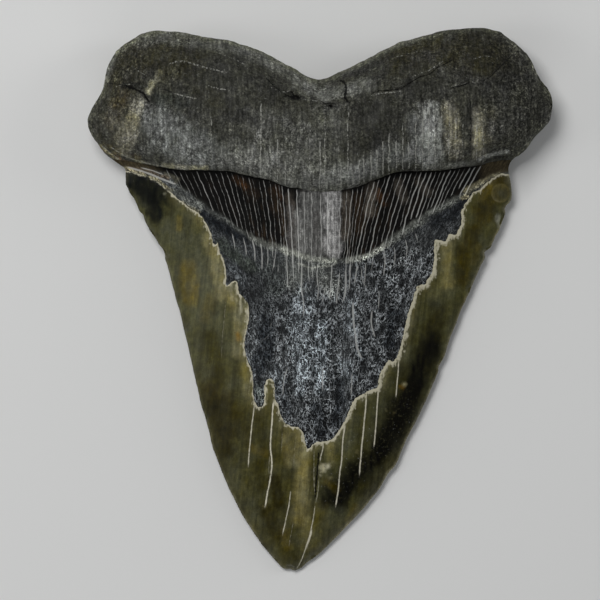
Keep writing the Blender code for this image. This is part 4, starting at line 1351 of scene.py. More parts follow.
m = REG == 2
x, y, d, dp = X[m], Y[m], D_OUT[m], D_PEEL[m]
z = settled(crown_front(x, y), y, d)
ramp = smoothstep(0, 7, d) * (0.42 + 0.58 * smoothstep(0, 2.4, dp))
z += ENAMEL * ramp * (1 + 0.10 * noise(x / 14, y / 22, 9))
z += smoothstep(0, 12, d) * (0.12e-3 * fbm(x / 26, y / 60, 2, 10)
                             + 0.014e-3 * noise(x / 3.0, y / 22, 11))
z -= 0.06e-3 * LINE["white"][m] + 0.14e-3 * LINE["dots"][m]
z += 0.02e-3 * smoothstep(9, 3, d) * noise(x / 6.0, y / 9.0, 12)
(cx, cy), radius = SPOT
q = np.hypot(x - cx, y - cy) / radius
z -= np.clip(d / 2.5, 0, 1) * (0.16e-3 * smoothstep(1.05, 0.75, q)
                               - 0.05e-3 * smoothstep(0.5, 0.2, q))
for (cx, cy), (rx, ry), depth in CHIPS:
    q = np.hypot((x - cx) / rx, (y - cy) / ry) + 0.2 * noise(x / 3, y / 3, 13)
    z -= depth * smoothstep(1.0, 0.35, q) * np.clip(d / 1.2, 0.15, 1)
Z[m] = z
Z[on_ring] = edge_height(Y[on_ring]) + EDGE_HALF
Z[REG == 2] = np.maximum(Z[REG == 2], edge_height(Y[REG == 2]) - 0.25e-3)

# =====================================================================
# The steps: the root's overhanging lip and the enamel's broken edge
# =====================================================================
walls, wall_pts, wall_z, wall_reg, wall_kind = [], [], [], [], []
next_id = len(P)
lip_s = resample(smooth_curve(LIP), 1.2)[1]
lip_drop = Z[lip_at] - Z[lip_low]
tuck = np.clip(lip_drop / 1.6e-3, 0, 1)
inward = up * n_lip
base_xy = P[lip_at].copy()
P[lip_low[1:-1]] = (base_xy + inward * (1.9 * tuck)[:, None])[1:-1]
rows = [lip_at]
for t, out in ((0.30, -0.12), (0.68, 0.75)):
    ids = lip_at.copy()
    ids[1:-1] = next_id + np.arange(len(ids) - 2)
    next_id += len(ids) - 2
    wall_pts.append((base_xy + inward * (out * tuck)[:, None])[1:-1])
    wall_z.append((Z[lip_at] + (Z[lip_low] - Z[lip_at]) * t)[1:-1])
    wall_reg.append(np.full(len(ids) - 2, 0))
    wall_kind.append(np.full(len(ids) - 2, t))
    rows.append(ids)
rows.append(lip_low)


def quads(a, b):
    out = []
    for i in range(len(a) - 1):
        for t in ((a[i], b[i], b[i + 1]), (a[i], b[i + 1], a[i + 1])):
            if len(set(t)) == 3:
                out.append(t)
    return out


wall_tri, wall_uv = [], []
WALL_ROW = (0.0, 0.30, 0.68, 1.0)
for k in range(3):
    for i in range(len(lip_at) - 1):
        a, b = rows[k], rows[k + 1]
        va, vb = WALL_ROW[k], WALL_ROW[k + 1]
        s0, s1 = lip_s[i], lip_s[i + 1]
        for t, uv in (((a[i], b[i], b[i + 1]), ((s0, va), (s0, vb), (s1, vb))),
                      ((a[i], b[i + 1], a[i + 1]), ((s0, va), (s1, vb), (s1, va)))):
            if len(set(t)) == 3:
                wall_tri.append(t)
                wall_uv.append(uv)
n_lip_wall = len(wall_tri)
peel_tri = quads(peel_low, peel_at)
P = np.vstack([P] + wall_pts)
Z = np.concatenate([Z] + wall_z)
REG = np.concatenate([REG] + wall_reg)
WALL = np.concatenate([np.zeros(len(REG) - sum(map(len, wall_kind)))] + wall_kind)
n_front = len(P)

# =====================================================================
# The back sheet
# =====================================================================
bx, by_ = bv[:, 0], bv[:, 1]
bd, b_near = outline_line.nearest(bv)
back_ring = np.full(len(bv), -1)
for i, s in enumerate(bsrc):
    if 0 <= s < n_ring:
        back_ring[i] = s
bd[back_ring >= 0] = 0
labial_line = smooth_curve(LABIAL)
lab_y = np.interp(bx, labial_line[:, 0], labial_line[:, 1]) \
    + 0.9 * noise(bx / 8, 0 * bx, 81)
b_root = by_ < lab_y
bz = back_height(bx, by_, bd)
soft = smoothstep(0.02e-3, 0.5e-3, bz) * np.clip(bd / 8, 0, 1)
bz = bz + soft * np.where(
    b_root,
    0.35e-3 * fbm(bx / 30, by_ / 22, 3, 82) + 0.12e-3 * fbm(bx / 9, by_ / 9, 2, 83),
    0.10e-3 * fbm(bx / 24, by_ / 60, 2, 84))
gap = by_ - lab_y
bz += np.clip(bd / 5, 0, 1) * 0.38e-3 * np.where(
    b_root, smoothstep(-26, -1.0, gap) * smoothstep(0.3, -0.9, gap), 0.0)
rows = []
for k, (pts, h, s) in enumerate(BACK_CRACKS):
    c = resample(smooth_curve(pts), 1.0)[0]
    rows.append((c, h, s))
b_line = np.zeros(len(bv))
b_line[back_ring < 0] = line_field(bv[back_ring < 0], rows)
bz += 0.10e-3 * b_line * np.clip(bd / 5, 0, 1)
bz = np.maximum(bz, 0.0)
at_ring = back_ring >= 0
bz[at_ring] = edge_height(by_[at_ring]) - EDGE_HALF

# the two sheets are joined by the narrow face of the edge
ring_low = np.zeros(n_ring, dtype=np.int64)
ring_low[back_ring[at_ring]] = n_front + np.nonzero(at_ring)[0]
edge_tri = []
for i in range(n_ring):
    j = (i + 1) % n_ring
    edge_tri.append((ring_at[i], ring_at[j], ring_low[j]))
    edge_tri.append((ring_at[i], ring_low[j], ring_low[i]))
ALL = np.vstack([P, bv])
ALLZ = np.concatenate([Z, bz])
TRI = np.vstack([front_tri, np.array(wall_tri), np.array(peel_tri),
                 np.array(edge_tri), bt + n_front])
n_f, n_l, n_p, n_e = (len(front_tri), n_lip_wall, len(peel_tri), len(edge_tri))

k = UNIT * (1 - (ALLZ - VIEW_PLANE) / VIEW_DISTANCE)
WX = (VIEW_CENTRE[0] - MIDDLE[0]) * UNIT + (ALL[:, 0] - VIEW_CENTRE[0]) * k
WY = (MIDDLE[1] - VIEW_CENTRE[1]) * UNIT + (VIEW_CENTRE[1] - ALL[:, 1]) * k
CO = np.stack([WX, WY, ALLZ], 1)

# =====================================================================
# Colour: tones are laid on one by one, as soft marks with ragged borders
# =====================================================================


def linear(rgb):
    c = np.array(rgb, dtype=float) / 255
    return np.where(c <= 0.04045, c / 12.92, ((c + 0.055) / 1.055) ** 2.4)


def far_from(pts, path):
    """Distance to a path of a few points."""
    p = np.array(path, dtype=float)
    if len(p) == 1:
        return np.hypot(*(pts - p[0]).T)
    best = np.full(len(pts), np.inf)
    for a, b in zip(p[:-1], p[1:]):
        e = b - a
        t = np.clip(((pts - a) @ e) / max(e @ e, 1e-9), 0, 1)
        best = np.minimum(best, np.hypot(*(pts - a - t[:, None] * e).T))
    return best


def lay(colour, pts, marks, seed, grain=(9.0, 12.0), broken=(2.6, 9.0, 0.25),
        rags=0.55):
    """Lays marks (tone, strength, half width, softness, path) on colour."""
    for i, (tone, strength, width, soft, path) in enumerate(marks):
        near = far_from(pts, path)
        sel = near < width * 1.8 + 4
        if not sel.any():
            continue
        q = pts[sel]
        rag = fbm(q[:, 0] / grain[0], q[:, 1] / grain[1], 3, seed + 13 * i)
        fine = noise(q[:, 0] / 2.6, q[:, 1] / 3.4, seed + 13 * i + 5)
        dist = near[sel] + rag * width * rags + fine * min(width * 0.25, 1.2)
        w = strength * smoothstep(width * 1.15, width * (1.15 - soft) - 0.3, dist)
        w = w * np.clip(1.0 - 0.3 * broken[2] + broken[2] * 1.4 * noise(
            q[:, 0] / broken[0], q[:, 1] / broken[1], seed + 13 * i + 7), 0, 1.1)
        c = linear(TONES[tone])
        colour[sel] += (c - colour[sel]) * w[:, None]
    return colour


def tone(name, n):
    return np.tile(linear(TONES[name]), (n, 1))


def mix(a, b, w):
    return a + (b - a) * w[:, None]


PAINT = np.zeros((len(ALL), 3))
# the dark marks hold the cracks, and painted shade inside the root's pits
LINES = np.zeros((len(ALL), 3))      # pale lines, dark marks, cream rim
EXTRA = np.zeros((len(ALL), 3))      # specks, strength of the net, gloss
FLOW = np.zeros((len(ALL), 3))
ZONE = np.zeros((len(ALL), 3))

x, y = P[:, 0], P[:, 1]
pad = len(P) - len(D_OUT)
pad_start = len(D_OUT)
tuck_wall = np.concatenate([tuck[1:-1], tuck[1:-1]])
d_out = np.concatenate([D_OUT, np.full(pad, 20.0)])
d_peel = np.concatenate([D_PEEL, np.full(pad, 99.0)])
d_lip = np.concatenate([D_LIP, np.zeros(pad)])
band = np.concatenate([BAND, np.ones(pad)])
net = np.concatenate([NET, np.zeros(pad)])
line = {k: np.concatenate([v, np.zeros(pad)]) for k, v in LINE.items()}
on_wall = np.arange(len(P)) >= pad_start
for k in ("pale", "stria"):
    line[k][on_wall] = line_field(P[on_wall], [
        (c, 1.2 * h, g) for n, c, a, b, h, g in line_rows if n == k])

# root
m = REG == 0
q = P[m]
c = tone("root", len(q))
c *= np.exp(0.22 * fbm(q[:, 0] / 40, q[:, 1] / 30, 3, 101)
            + 0.25 * fbm(q[:, 0] / 7, q[:, 1] / 22, 3, 102)
            + 0.22 * fbm(q[:, 0] / 5.5, q[:, 1] / 5.5, 2, 103))[:, None]
c = lay(c, q, ROOT_MARKS, 200, (9.0, 12.0), (2.6, 11.0, 0.55))
# painted rim light: the root is painted paler along its outline, most of all along the top,
# where the light falls
rim = smoothstep(6.0, 1.0, d_out[m] + 1.5 * noise(q[:, 0] / 6, q[:, 1] / 6, 104))
top_rim_light = smoothstep(110, 60, q[:, 1]) * smoothstep(470, 400, q[:, 0])
c = mix(c, tone("rim", len(q)), rim * (0.26 + 0.52 * top_rim_light))
cracks_and_pit_shade = np.clip(line["root"][m], 0, 1)
# painted shade: the wall under the root's overhanging lip is painted near black, less so in the
# middle where the step is low
lip_wall_shade = np.clip(np.concatenate([np.zeros(pad_start), tuck_wall])[m] / 0.6, 0, 1)
lip_wall_shade *= smoothstep(140, 168, q[:, 0]) * smoothstep(492, 470, q[:, 0])
soft = np.exp(-((q[:, 0] - 316) / 78) ** 2)
c = mix(c, tone("near black", len(q)), 0.8 * smoothstep(0, 0.6, WALL[m]) * lip_wall_shade
        * (1 - soft * np.clip(0.55 + 0.6 * noise(q[:, 0] / 3.1, q[:, 1] / 9, 106),
                              0.1, 0.95)))
PAINT[:len(P)][m] = c
LINES[:len(P), 0][m] = line["pale"][m]
# painted shade: the root's pits are added to the dark marks, so their insides are painted dark
# as shade
for (cx, cy), radius, _ in ROOT_PITS:
    r = np.hypot(q[:, 0] - cx, 1.2 * (q[:, 1] - cy)) \
        + 0.8 * noise(q[:, 0] / 1.8, q[:, 1] / 1.8, 141)
    cracks_and_pit_shade = np.maximum(cracks_and_pit_shade, smoothstep(1.02 * radius, 0.45 * radius, r))
LINES[:len(P), 1][m] = cracks_and_pit_shade
lobes = smoothstep(170, 110, q[:, 0]) * smoothstep(130, 90, q[:, 1]) \
    + smoothstep(470, 520, q[:, 0])
EXTRA[:len(P), 0][m] = 0.55 + 0.45 * smoothstep(0.1, 0.5, fbm(
    q[:, 0] / 24, q[:, 1] / 20, 2, 105))
quiet = np.exp(-((q[:, 0] - 230) / 46) ** 2 - ((q[:, 1] - 88) / 36) ** 2) \
    + np.exp(-((q[:, 0] - 376) / 22) ** 2 - ((q[:, 1] - 122) / 26) ** 2) \
    + 0.6 * np.exp(-((q[:, 0] - 130) / 34) ** 2 - ((q[:, 1] - 62) / 24) ** 2)
EXTRA[:len(P), 2][m] = 1.15 + 0.55 * lobes - 0.40 * np.clip(quiet, 0, 1)

# bare dentine and the band
m = REG == 1
q, b = P[m], band[m]
u = origin_of_stria(q[:, 0], q[:, 1])
brown = 0.50 * np.maximum(smoothstep(226, 240, u) * smoothstep(296, 284, u),
                         smoothstep(340, 346, u) * smoothstep(412, 392, u))
dark = mix(tone("band", len(q)), tone("band brown", len(q)),
           smoothstep(-0.10, 0.45, fbm(u / 6.5, q[:, 1] / 20, 3, 111))
           * np.clip(0.2 + brown, 0, 1))
dark = mix(dark, tone("near black", len(q)),
           0.85 * smoothstep(0.0, 0.4, fbm(u / 4.2, q[:, 1] / 26, 2, 112)))
dark = lay(dark, q, BAND_MARKS, 300, (5.0, 16.0), (2.4, 6.0, 0.5))
# painted shadow: the band is darkened just below the root's lip, as if cast by it, except in
# the middle and at the ends
lip_shadow = smoothstep(13, 2, d_lip[m]) * smoothstep(18, 46, np.abs(q[:, 0] - 318)) \
    * smoothstep(158, 176, q[:, 0]) * smoothstep(482, 462, q[:, 0])
ends = np.maximum(smoothstep(166, 150, q[:, 0]), smoothstep(474, 490, q[:, 0]))
dark = mix(dark, tone("umber", len(q)), 0.75 * ends)
dark = mix(dark, tone("near black", len(q)), 0.62 * lip_shadow)
bare = tone("dentine", len(q))
bare *= np.exp(0.12 * fbm(q[:, 0] / 22, q[:, 1] / 30, 3, 113))[:, None]
bare = lay(bare, q, DENTINE_MARKS, 400, (7.0, 10.0), (3.0, 6.0, 0.4))
gain = np.clip(smoothstep(256, 284, q[:, 1] + 8 * noise(q[:, 0] / 14, q[:, 1] / 14, 114))
               * 0.60 + 0.40, 0, 1)
gain = np.maximum(gain, smoothstep(342, 362, q[:, 0]) * smoothstep(236, 256, q[:, 1]))
smooth_zone = np.exp(-((q[:, 0] - 304) / 36) ** 2 - ((q[:, 1] - 274) / 16) ** 2)
gain *= 1 - 0.7 * smooth_zone
cluster = noise(q[:, 0] / 7.5, q[:, 1] / 11.0, 117)
calm = np.exp(-((q[:, 0] - 252) / 26) ** 2 - ((q[:, 1] - 288) / 22) ** 2)
shelf = np.exp(-((q[:, 1] - band_y(q[:, 0]) - 9) / 6) ** 2) \
    * smoothstep(205, 215, q[:, 0]) * smoothstep(256, 240, q[:, 0])
deep_part = np.clip(smoothstep(380, 415, q[:, 1]) + smoothstep(368, 392, q[:, 0]), 0, 1)
bare *= np.exp(-0.45 * calm - 0.30 * shelf - 0.16 * deep_part)[:, None]
gain *= 1 - 0.45 * calm
lit = bare.mean(1) / linear(TONES["dentine"]).mean()
gain *= np.clip(lit, 0.25, 1) ** 0.25 * (1 + 0.22 * deep_part)
bare *= np.exp(gain * (0.35 * (net[m] - 0.42) + 0.45 * cluster))[:, None]
c = mix(bare, dark, b)
ridge = q[:, 1] - band_y(q[:, 0])
c = mix(c, tone("ridge", len(q)),
        0.50 * np.exp(-((ridge - 1.5) / (2.8 + 1.2 * noise(q[:, 0] / 11, ridge / 9, 115))) ** 2)
        * (0.70 + 0.45 * noise(q[:, 0] / 5, ridge / 4, 116)))
c = lay(c, q, RIDGE_MARKS, 500, (6.0, 5.0), (2.4, 3.4, 0.45))
pale = np.maximum(line["stria"][m], 1.2 * line["vein"][m])
PAINT[:len(P)][m] = c
LINES[:len(P), 0][m] = pale
EXTRA[:len(P), 1][m] = gain * (1 - b)
FLOW[:len(P), 0][m] = u

# enamel
m = REG == 2
q = P[m]
c = tone("khaki", len(q))
w = q[:, 0] + 0.10 * (q[:, 1] - 300)
c *= np.exp(0.12 * fbm(w / 26, q[:, 1] / 60, 3, 121)
            + 0.16 * fbm(w / 3.4, q[:, 1] / 42, 3, 122)
            + 0.16 * fbm(q[:, 0] / 8, q[:, 1] / 10, 3, 129))[:, None]
c = lay(c, q, ENAMEL_MARKS, 600, (8.0, 15.0), (3.6, 14.0, 0.18), 0.34)
low_left = smoothstep(330, 400, q[:, 1]) * smoothstep(330, 290, q[:, 0])
c *= np.stack([1 - 0.10 * low_left, 1 - 0.14 * low_left, 1 - 0.26 * low_left], 1)
corner = smoothstep(182, 156, q[:, 0]) * smoothstep(224, 206, q[:, 1])
shoulder = smoothstep(452, 474, q[:, 0])
edge = smoothstep(15, 4, d_out[m] + 2.2 * noise(q[:, 0] / 13, q[:, 1] / 13, 123))
low = smoothstep(420, 470, q[:, 1])
c = mix(c, tone("horn", len(q)), edge * (0.05 + 0.50 * low))
# painted rim light: a thin pale line along the crown's edge, stronger towards the tip and on
# the right half
right = smoothstep(300, 340, q[:, 0])
thin = smoothstep(2.6, 0.8, d_out[m] + 0.5 * noise(q[:, 0] / 5, q[:, 1] / 5, 124))
c = mix(c, tone("horn pale", len(q)), thin * (1 - 0.6 * corner)
        * (0.34 + 0.16 * low + 0.30 * right))
c = lay(c, q, ENAMEL_SPOTS, 700, (4.0, 4.0))
spot_r = np.hypot(q[:, 0] - SPOT[0][0], q[:, 1] - SPOT[0][1])
spot_r = spot_r + 0.5 * noise(q[:, 0] / 3, q[:, 1] / 3, 125)
c = mix(c, tone("scar", len(q)), 0.85 * smoothstep(9.9, 8.6, spot_r))
c = mix(c, tone("scar ring", len(q)),
        0.5 * smoothstep(1.2, 0.2, np.abs(spot_r - 8.8)))
c = mix(c, tone("scar core", len(q)), 0.6 * smoothstep(4.6, 2.2, spot_r))
at = np.arange(len(q))
width = 1.5 + 1.5 * noise(q[:, 0] / 4.2, q[:, 1] / 5.5, 126) \
    + 1.1 * smoothstep(300, 330, q[:, 0]) * smoothstep(470, 380, q[:, 1]) \
    + 0.8 * smoothstep(300, 200, q[:, 1]) * smoothstep(440, 460, q[:, 0])
width = 2.6 * np.maximum(width, 0.9) * (1 - 0.55 * corner) * (1 - 0.62 * shoulder)
rimmed = np.clip(1 - d_peel[m] / width, 0, 1)
rimmed = rimmed * np.clip(0.82 + 0.55 * noise(q[:, 0] / 6, q[:, 1] / 7, 127)
                          + 0.25 * smoothstep(300, 330, q[:, 0]), 0.25, 1)
halo = smoothstep(12, 1, d_peel[m]) * np.clip(
    0.55 + 0.45 * noise(q[:, 0] / 10, q[:, 1] / 14, 128), 0, 1)
c = mix(c, tone("bone", len(q)), 0.55 * halo * (1 - corner) * (1 - 0.9 * shoulder))
PAINT[:len(P)][m] = c
LINES[:len(P), 0][m] = np.clip(line["white"][m], 0, 1)
LINES[:len(P), 1][m] = line["dots"][m]
LINES[:len(P), 2][m] = rimmed
speck = far_from(q, [(385, 385), (395, 415), (388, 440), (350, 455), (330, 482)])
EXTRA[:len(P), 0][m] = smoothstep(34, 10, speck)
FLOW[:len(P), 0][m] = w

FLOW[:len(P), 0][REG == 0] = P[REG == 0][:, 0]
FLOW[:len(P), 2][REG == 0] = 0.5 * ALLZ[:len(P)][REG == 0] / UNIT
FLOW[:len(P), 1] = P[:, 1]
for r in range(3):
    ZONE[:len(P), r][REG == r] = 1
LINES[peel_low[1:-1], 2] = 0.0
LINES[peel_at[1:-1], 2] = np.maximum(LINES[peel_at[1:-1], 2], 0.45)

# the back
q, r, g = bv, b_root, b_line
croot = tone("root", len(q))
croot *= np.exp(0.20 * fbm(q[:, 0] / 30, q[:, 1] / 24, 3, 131)
                + 0.16 * fbm(q[:, 0] / 6, q[:, 1] / 12, 3, 132))[:, None]
croot = lay(croot, q, BACK_ROOT_MARKS, 800)
# painted rim light: the back of the root is painted paler along its outline, most of all along
# the top
rim = smoothstep(8.0, 1.0, bd + 1.5 * noise(q[:, 0] / 6, q[:, 1] / 6, 104))
top_rim_light = smoothstep(110, 60, q[:, 1]) * smoothstep(470, 400, q[:, 0])
croot = mix(croot, tone("rim", len(q)), rim * (0.26 + 0.52 * top_rim_light))
ccrown = tone("khaki", len(q))
ccrown *= np.exp(0.16 * fbm(q[:, 0] / 22, q[:, 1] / 60, 3, 133)
                 + 0.12 * fbm(q[:, 0] / 3.6, q[:, 1] / 44, 3, 134))[:, None]
ccrown = lay(ccrown, q, BACK_CROWN_MARKS, 900, (10.0, 20.0))
edge = smoothstep(15, 4, bd + 2.2 * noise(q[:, 0] / 13, q[:, 1] / 13, 135))
ccrown = mix(ccrown, tone("horn", len(q)),
             edge * (0.15 + 0.45 * smoothstep(420, 470, q[:, 1])))
seam = smoothstep(5.0, 0.5, np.abs(q[:, 1] - lab_y))
ccrown = mix(ccrown, tone("ridge", len(q)), 0.35 * seam)
croot = mix(croot, tone("near black", len(q)), 0.30 * seam)
c = np.where(r[:, None], croot, ccrown)
worn = np.zeros(len(q))
for (cx, cy), (ax, ay) in RESTS:
    e = np.hypot((q[:, 0] - cx) / ax, (q[:, 1] - cy) / ay)
    worn = np.maximum(worn, smoothstep(1.15, 0.7, e + 0.18 * fbm(
        q[:, 0] / 9, q[:, 1] / 9, 3, 136)))
c = mix(c, np.where(r[:, None], tone("worn root", len(q)),
                    tone("worn crown", len(q))), 0.30 * worn)
nb = slice(n_front, None)
PAINT[nb] = c
LINES[nb, 0] = np.where(r, 0, 0.62 * np.clip(g, 0, 1))
LINES[nb, 1] = np.where(r, np.clip(g, 0, 1), 0)
FLOW[nb, 0] = q[:, 0]
FLOW[nb, 1] = q[:, 1]
FLOW[nb, 2] = 0.5 * ALLZ[nb] / UNIT
ZONE[nb, 0] = r
ZONE[nb, 2] = ~r
EXTRA[nb, 0] = np.where(r, 0.55, 0.0)
EXTRA[nb, 2] = 1.15

# =====================================================================
# The mesh
# =====================================================================
mesh = bpy.data.meshes.new("fossil_tooth")
mesh.vertices.add(len(CO))
mesh.vertices.foreach_set("co", CO.astype(np.float32).ravel())
mesh.loops.add(3 * len(TRI))
mesh.loops.foreach_set("vertex_index", TRI.astype(np.int32).ravel())
mesh.polygons.add(len(TRI))
mesh.polygons.foreach_set("loop_start", np.arange(0, 3 * len(TRI), 3,
                                                  dtype=np.int32))
mesh.update(calc_edges=True)
assert not mesh.validate()

# the flat layout of the surface: front, back turned over, and the lip's face
LAYOUT = 1024.0
away = -turn * n_out
span_n = 12
wide = np.vstack([away[-span_n:], away, away[:span_n]])
kernel = np.ones(2 * span_n + 1) / (2 * span_n + 1)
sn = np.stack([np.convolve(wide[:, 0], kernel, "valid"),
               np.convolve(wide[:, 1], kernel, "valid")], 1)
sn /= np.maximum(np.hypot(sn[:, 0], sn[:, 1]), 1e-6)[:, None]
fac = np.zeros(n_ring)
fac[i_lip[0] + 8:i_lip[1] - 8] = 1
fac[(outline[:, 0] > 268) & (outline[:, 0] < 372) & (outline[:, 1] < 100)] = 0.22
wide = np.concatenate([fac[-span_n:], fac, fac[:span_n]])
fac = np.convolve(wide, kernel, "valid")


def unrolled(pts, d, near, reach, e0):
    t = np.clip(d * UNIT / reach, 0, 1)
    e = e0 * fac[near] * (1 - np.sqrt(1 - (1 - t) ** 2))
    return pts + sn[near] * e[:, None]


d_f, near_f = outline_line.nearest(P)
d_f[:n_old][on_ring[:n_old]] = 0
is0 = (REG == 0)
flat_f = P.copy()
flat_f[is0] = unrolled(P[is0], d_f[is0], near_f[is0], RIM_FRONT, 20.0)
flat_b = unrolled(bv, bd, b_near, RIM_BACK, 10.0)
flat_b[by_ > 200] = bv[by_ > 200]
uv_f = np.stack([(flat_f[:, 0] - 66) * 1.62 + 4,
                 90 + (576 - flat_f[:, 1]) * 1.62], 1) / LAYOUT
uv_b = np.stack([(flat_b[:, 0] - 88) * 1.1 + 498.6,
                 (flat_b[:, 1] - 28) * 1.1 + 15], 1) / LAYOUT
lip_uv = np.array(wall_uv).reshape(-1, 2)
lip_uv = np.stack([6 + lip_uv[:, 0] * 1.05, 2 + 12 * lip_uv[:, 1]], 1) / LAYOUT
loops = np.zeros((len(TRI), 3, 2))
loops[:n_f] = uv_f[front_tri]
loops[n_f:n_f + n_l] = lip_uv.reshape(-1, 3, 2)
loops[n_f + n_l:n_f + n_l + n_p] = uv_f[np.array(peel_tri)]
a = uv_f[ring_at]
b = a + sn * np.array([1.0, -1.0]) * 1.1 / LAYOUT
strip = np.stack([np.stack([a, np.roll(a, -1, 0), np.roll(b, -1, 0)], 1),
                  np.stack([a, np.roll(b, -1, 0), b], 1)], 1)
loops[n_f + n_l + n_p:n_f + n_l + n_p + n_e] = strip.reshape(-1, 3, 2)
loops[n_f + n_l + n_p + n_e:] = uv_b[bt]
layer = mesh.uv_layers.new(name="OFBake")
layer.uv.foreach_set("vector", loops.astype(np.float32).ravel())


def attribute(name, kind, data):
    a = mesh.attributes.new(name, kind, "POINT")
    if kind == "FLOAT_COLOR":
        data = np.hstack([data, np.ones((len(data), 1))])
        a.data.foreach_set("color", data.astype(np.float32).ravel())
    else:
        a.data.foreach_set("vector", data.astype(np.float32).ravel())


attribute("paint", "FLOAT_COLOR", np.clip(PAINT, 0, 1))
attribute("lines", "FLOAT_VECTOR", LINES)
attribute("extra", "FLOAT_VECTOR", EXTRA)
attribute("flow", "FLOAT_VECTOR", FLOW)
attribute("zone", "FLOAT_VECTOR", ZONE)
mesh.shade_smooth()
mesh.set_sharp_from_angle(angle=math.radians(58))


# =====================================================================
# The fossil's surface, as one shader
# =====================================================================
fossil = bpy.data.materials.new("fossil_surface")
fossil.use_nodes = True
tree = fossil.node_tree
tree.nodes.clear()


def node(kind, **settings):
    n = tree.nodes.new(kind)
    for key, value in settings.items():
        setattr(n, key, value)
    return n


def plug(value, socket):
    if isinstance(value, bpy.types.NodeSocket):
        tree.links.new(value, socket)
    else:
        socket.default_value = value


def calc(op, a, b=None, c=None, clamp=False):
    n = node("ShaderNodeMath", operation=op, use_clamp=clamp)
    for value, socket in zip((a, b, c), n.inputs):
        if value is not None:
            plug(value, socket)
    return n.outputs[0]


def add(a, b):
    return calc("ADD", a, b)


def mul(a, b):
    return calc("MULTIPLY", a, b)


def ramp(value, low, high):
    """0 below low, 1 above high, eased between."""
    n = node("ShaderNodeMapRange", interpolation_type="SMOOTHSTEP")
    for v, s in zip((value, low, high, 0.0, 1.0), n.inputs):
        plug(v, s)
    return n.outputs[0]


def attr(name):
    return node("ShaderNodeAttribute", attribute_name=name)


def stretched(vector, scale, shift=(0.0, 0.0, 0.0)):
    n = node("ShaderNodeMapping")
    plug(vector, n.inputs["Vector"])
    n.inputs["Location"].default_value = shift
    n.inputs["Scale"].default_value = scale
    return n.outputs[0]


def cloud(vector, detail=3.0, rough=0.55, swirl=0.0):
    """Noise about 0, roughly -1 to 1, one cell a unit."""
    n = node("ShaderNodeTexNoise", noise_dimensions="3D")
    plug(vector, n.inputs["Vector"])
    n.inputs["Scale"].default_value = 1.0
    n.inputs["Detail"].default_value = detail
    n.inputs["Roughness"].default_value = rough
    n.inputs["Distortion"].default_value = swirl
    return calc("MULTIPLY_ADD", n.outputs["Fac"], 3.2, -1.6)


def blend(kind, fac, a, b):
    n = node("ShaderNodeMix", data_type="RGBA", blend_type=kind)
    plug(fac, n.inputs[0])
    plug(a, n.inputs[6])
    plug(b, n.inputs[7])
    return n.outputs[2]


def shade(colour, gain):
    """Colour times a number."""
    n = node("ShaderNodeVectorMath", operation="SCALE")
    plug(colour, n.inputs[0])
    plug(gain, n.inputs["Scale"])
    return n.outputs[0]


def rgb(name):
    return (*[float(v) for v in linear(TONES[name])], 1.0)


flow, place_v = attr("flow").outputs["Vector"], None
zones = node("ShaderNodeSeparateXYZ")
plug(attr("zone").outputs["Vector"], zones.inputs[0])
is_root, is_bare, is_enamel = zones.outputs
marks = node("ShaderNodeSeparateXYZ")
plug(attr("lines").outputs["Vector"], marks.inputs[0])
pale_line, dark_mark, cream_rim = marks.outputs
more = node("ShaderNodeSeparateXYZ")
plug(attr("extra").outputs["Vector"], more.inputs[0])
speck_here, net_here, grain_here = more.outputs

# root: grain, faint upright streaks, pores and pale specks
grain = cloud(stretched(flow, (0.62, 0.55, 1.1)), 3.0, 0.6)
coarse = cloud(stretched(flow, (0.33, 0.29, 0.6), (5, 1, 2)), 4.0, 0.72, 0.4)
streak = cloud(stretched(flow, (0.42, 0.055, 0.10), (3.1, 0, 0)), 2.0, 0.5)
blotch = cloud(stretched(flow, (0.13, 0.12, 0.24), (0, 7.7, 0)), 3.0, 0.6)
uneven = ramp(cloud(stretched(flow, (0.060, 0.052, 0.11), (2, 9, 4)), 3.0, 0.6),
              -0.55, 0.55)
gritty = mul(grain_here, calc("MULTIPLY_ADD", uneven, 0.55, 0.62))
root_n = add(mul(add(mul(grain, 0.90), mul(coarse, 1.45)), gritty),
             add(mul(streak, 0.72), mul(blotch, 0.46)))
pore = ramp(cloud(stretched(flow, (0.50, 0.46, 0.9), (9, 2, 4)), 2.0, 0.6),
            0.52, 0.95)
# bare dentine: a dense net of pale threads over blue-black
weave_a = cloud(stretched(flow, (0.25, 0.17, 1.0), (2, 5, 1)), 1.0, 0.5, 0.7)
weave_b = cloud(stretched(flow, (0.34, 0.24, 1.0), (6, 1, 3)), 1.0, 0.5, 0.5)
thread_a = ramp(calc("ABSOLUTE", weave_a), 0.17, 0.05)
thread_b = ramp(calc("ABSOLUTE", weave_b), 0.13, 0.03)
dust = cloud(stretched(flow, (0.85, 0.75, 1.0), (1, 1, 8)), 2.0, 0.6)
fleck = ramp(cloud(stretched(flow, (0.40, 0.34, 1.0), (4, 9, 1)), 1.0, 0.5),
             0.30, 0.52)
patchy = ramp(cloud(stretched(flow, (0.11, 0.08, 1.0), (8, 4, 7)), 2.0, 0.5),
              -0.75, 0.15)
threads = mul(calc("MAXIMUM", calc("MAXIMUM", thread_a, mul(thread_b, 0.8)),
                   mul(fleck, 0.95)),
              calc("MULTIPLY_ADD", patchy, 0.65, 0.35))
net_n = add(mul(calc("MULTIPLY_ADD", threads, 3.5, -1.36),
                calc("MULTIPLY_ADD", net_here, 0.85, 0.15)),
            mul(dust, calc("MULTIPLY_ADD", net_here, 0.20, 0.60)))
fibre = cloud(stretched(flow, (0.55, 0.035, 1.0), (4, 4, 2)), 2.0, 0.55)
bare_n = add(net_n, mul(fibre, calc("MULTIPLY_ADD", net_here, -0.40, 0.80)))
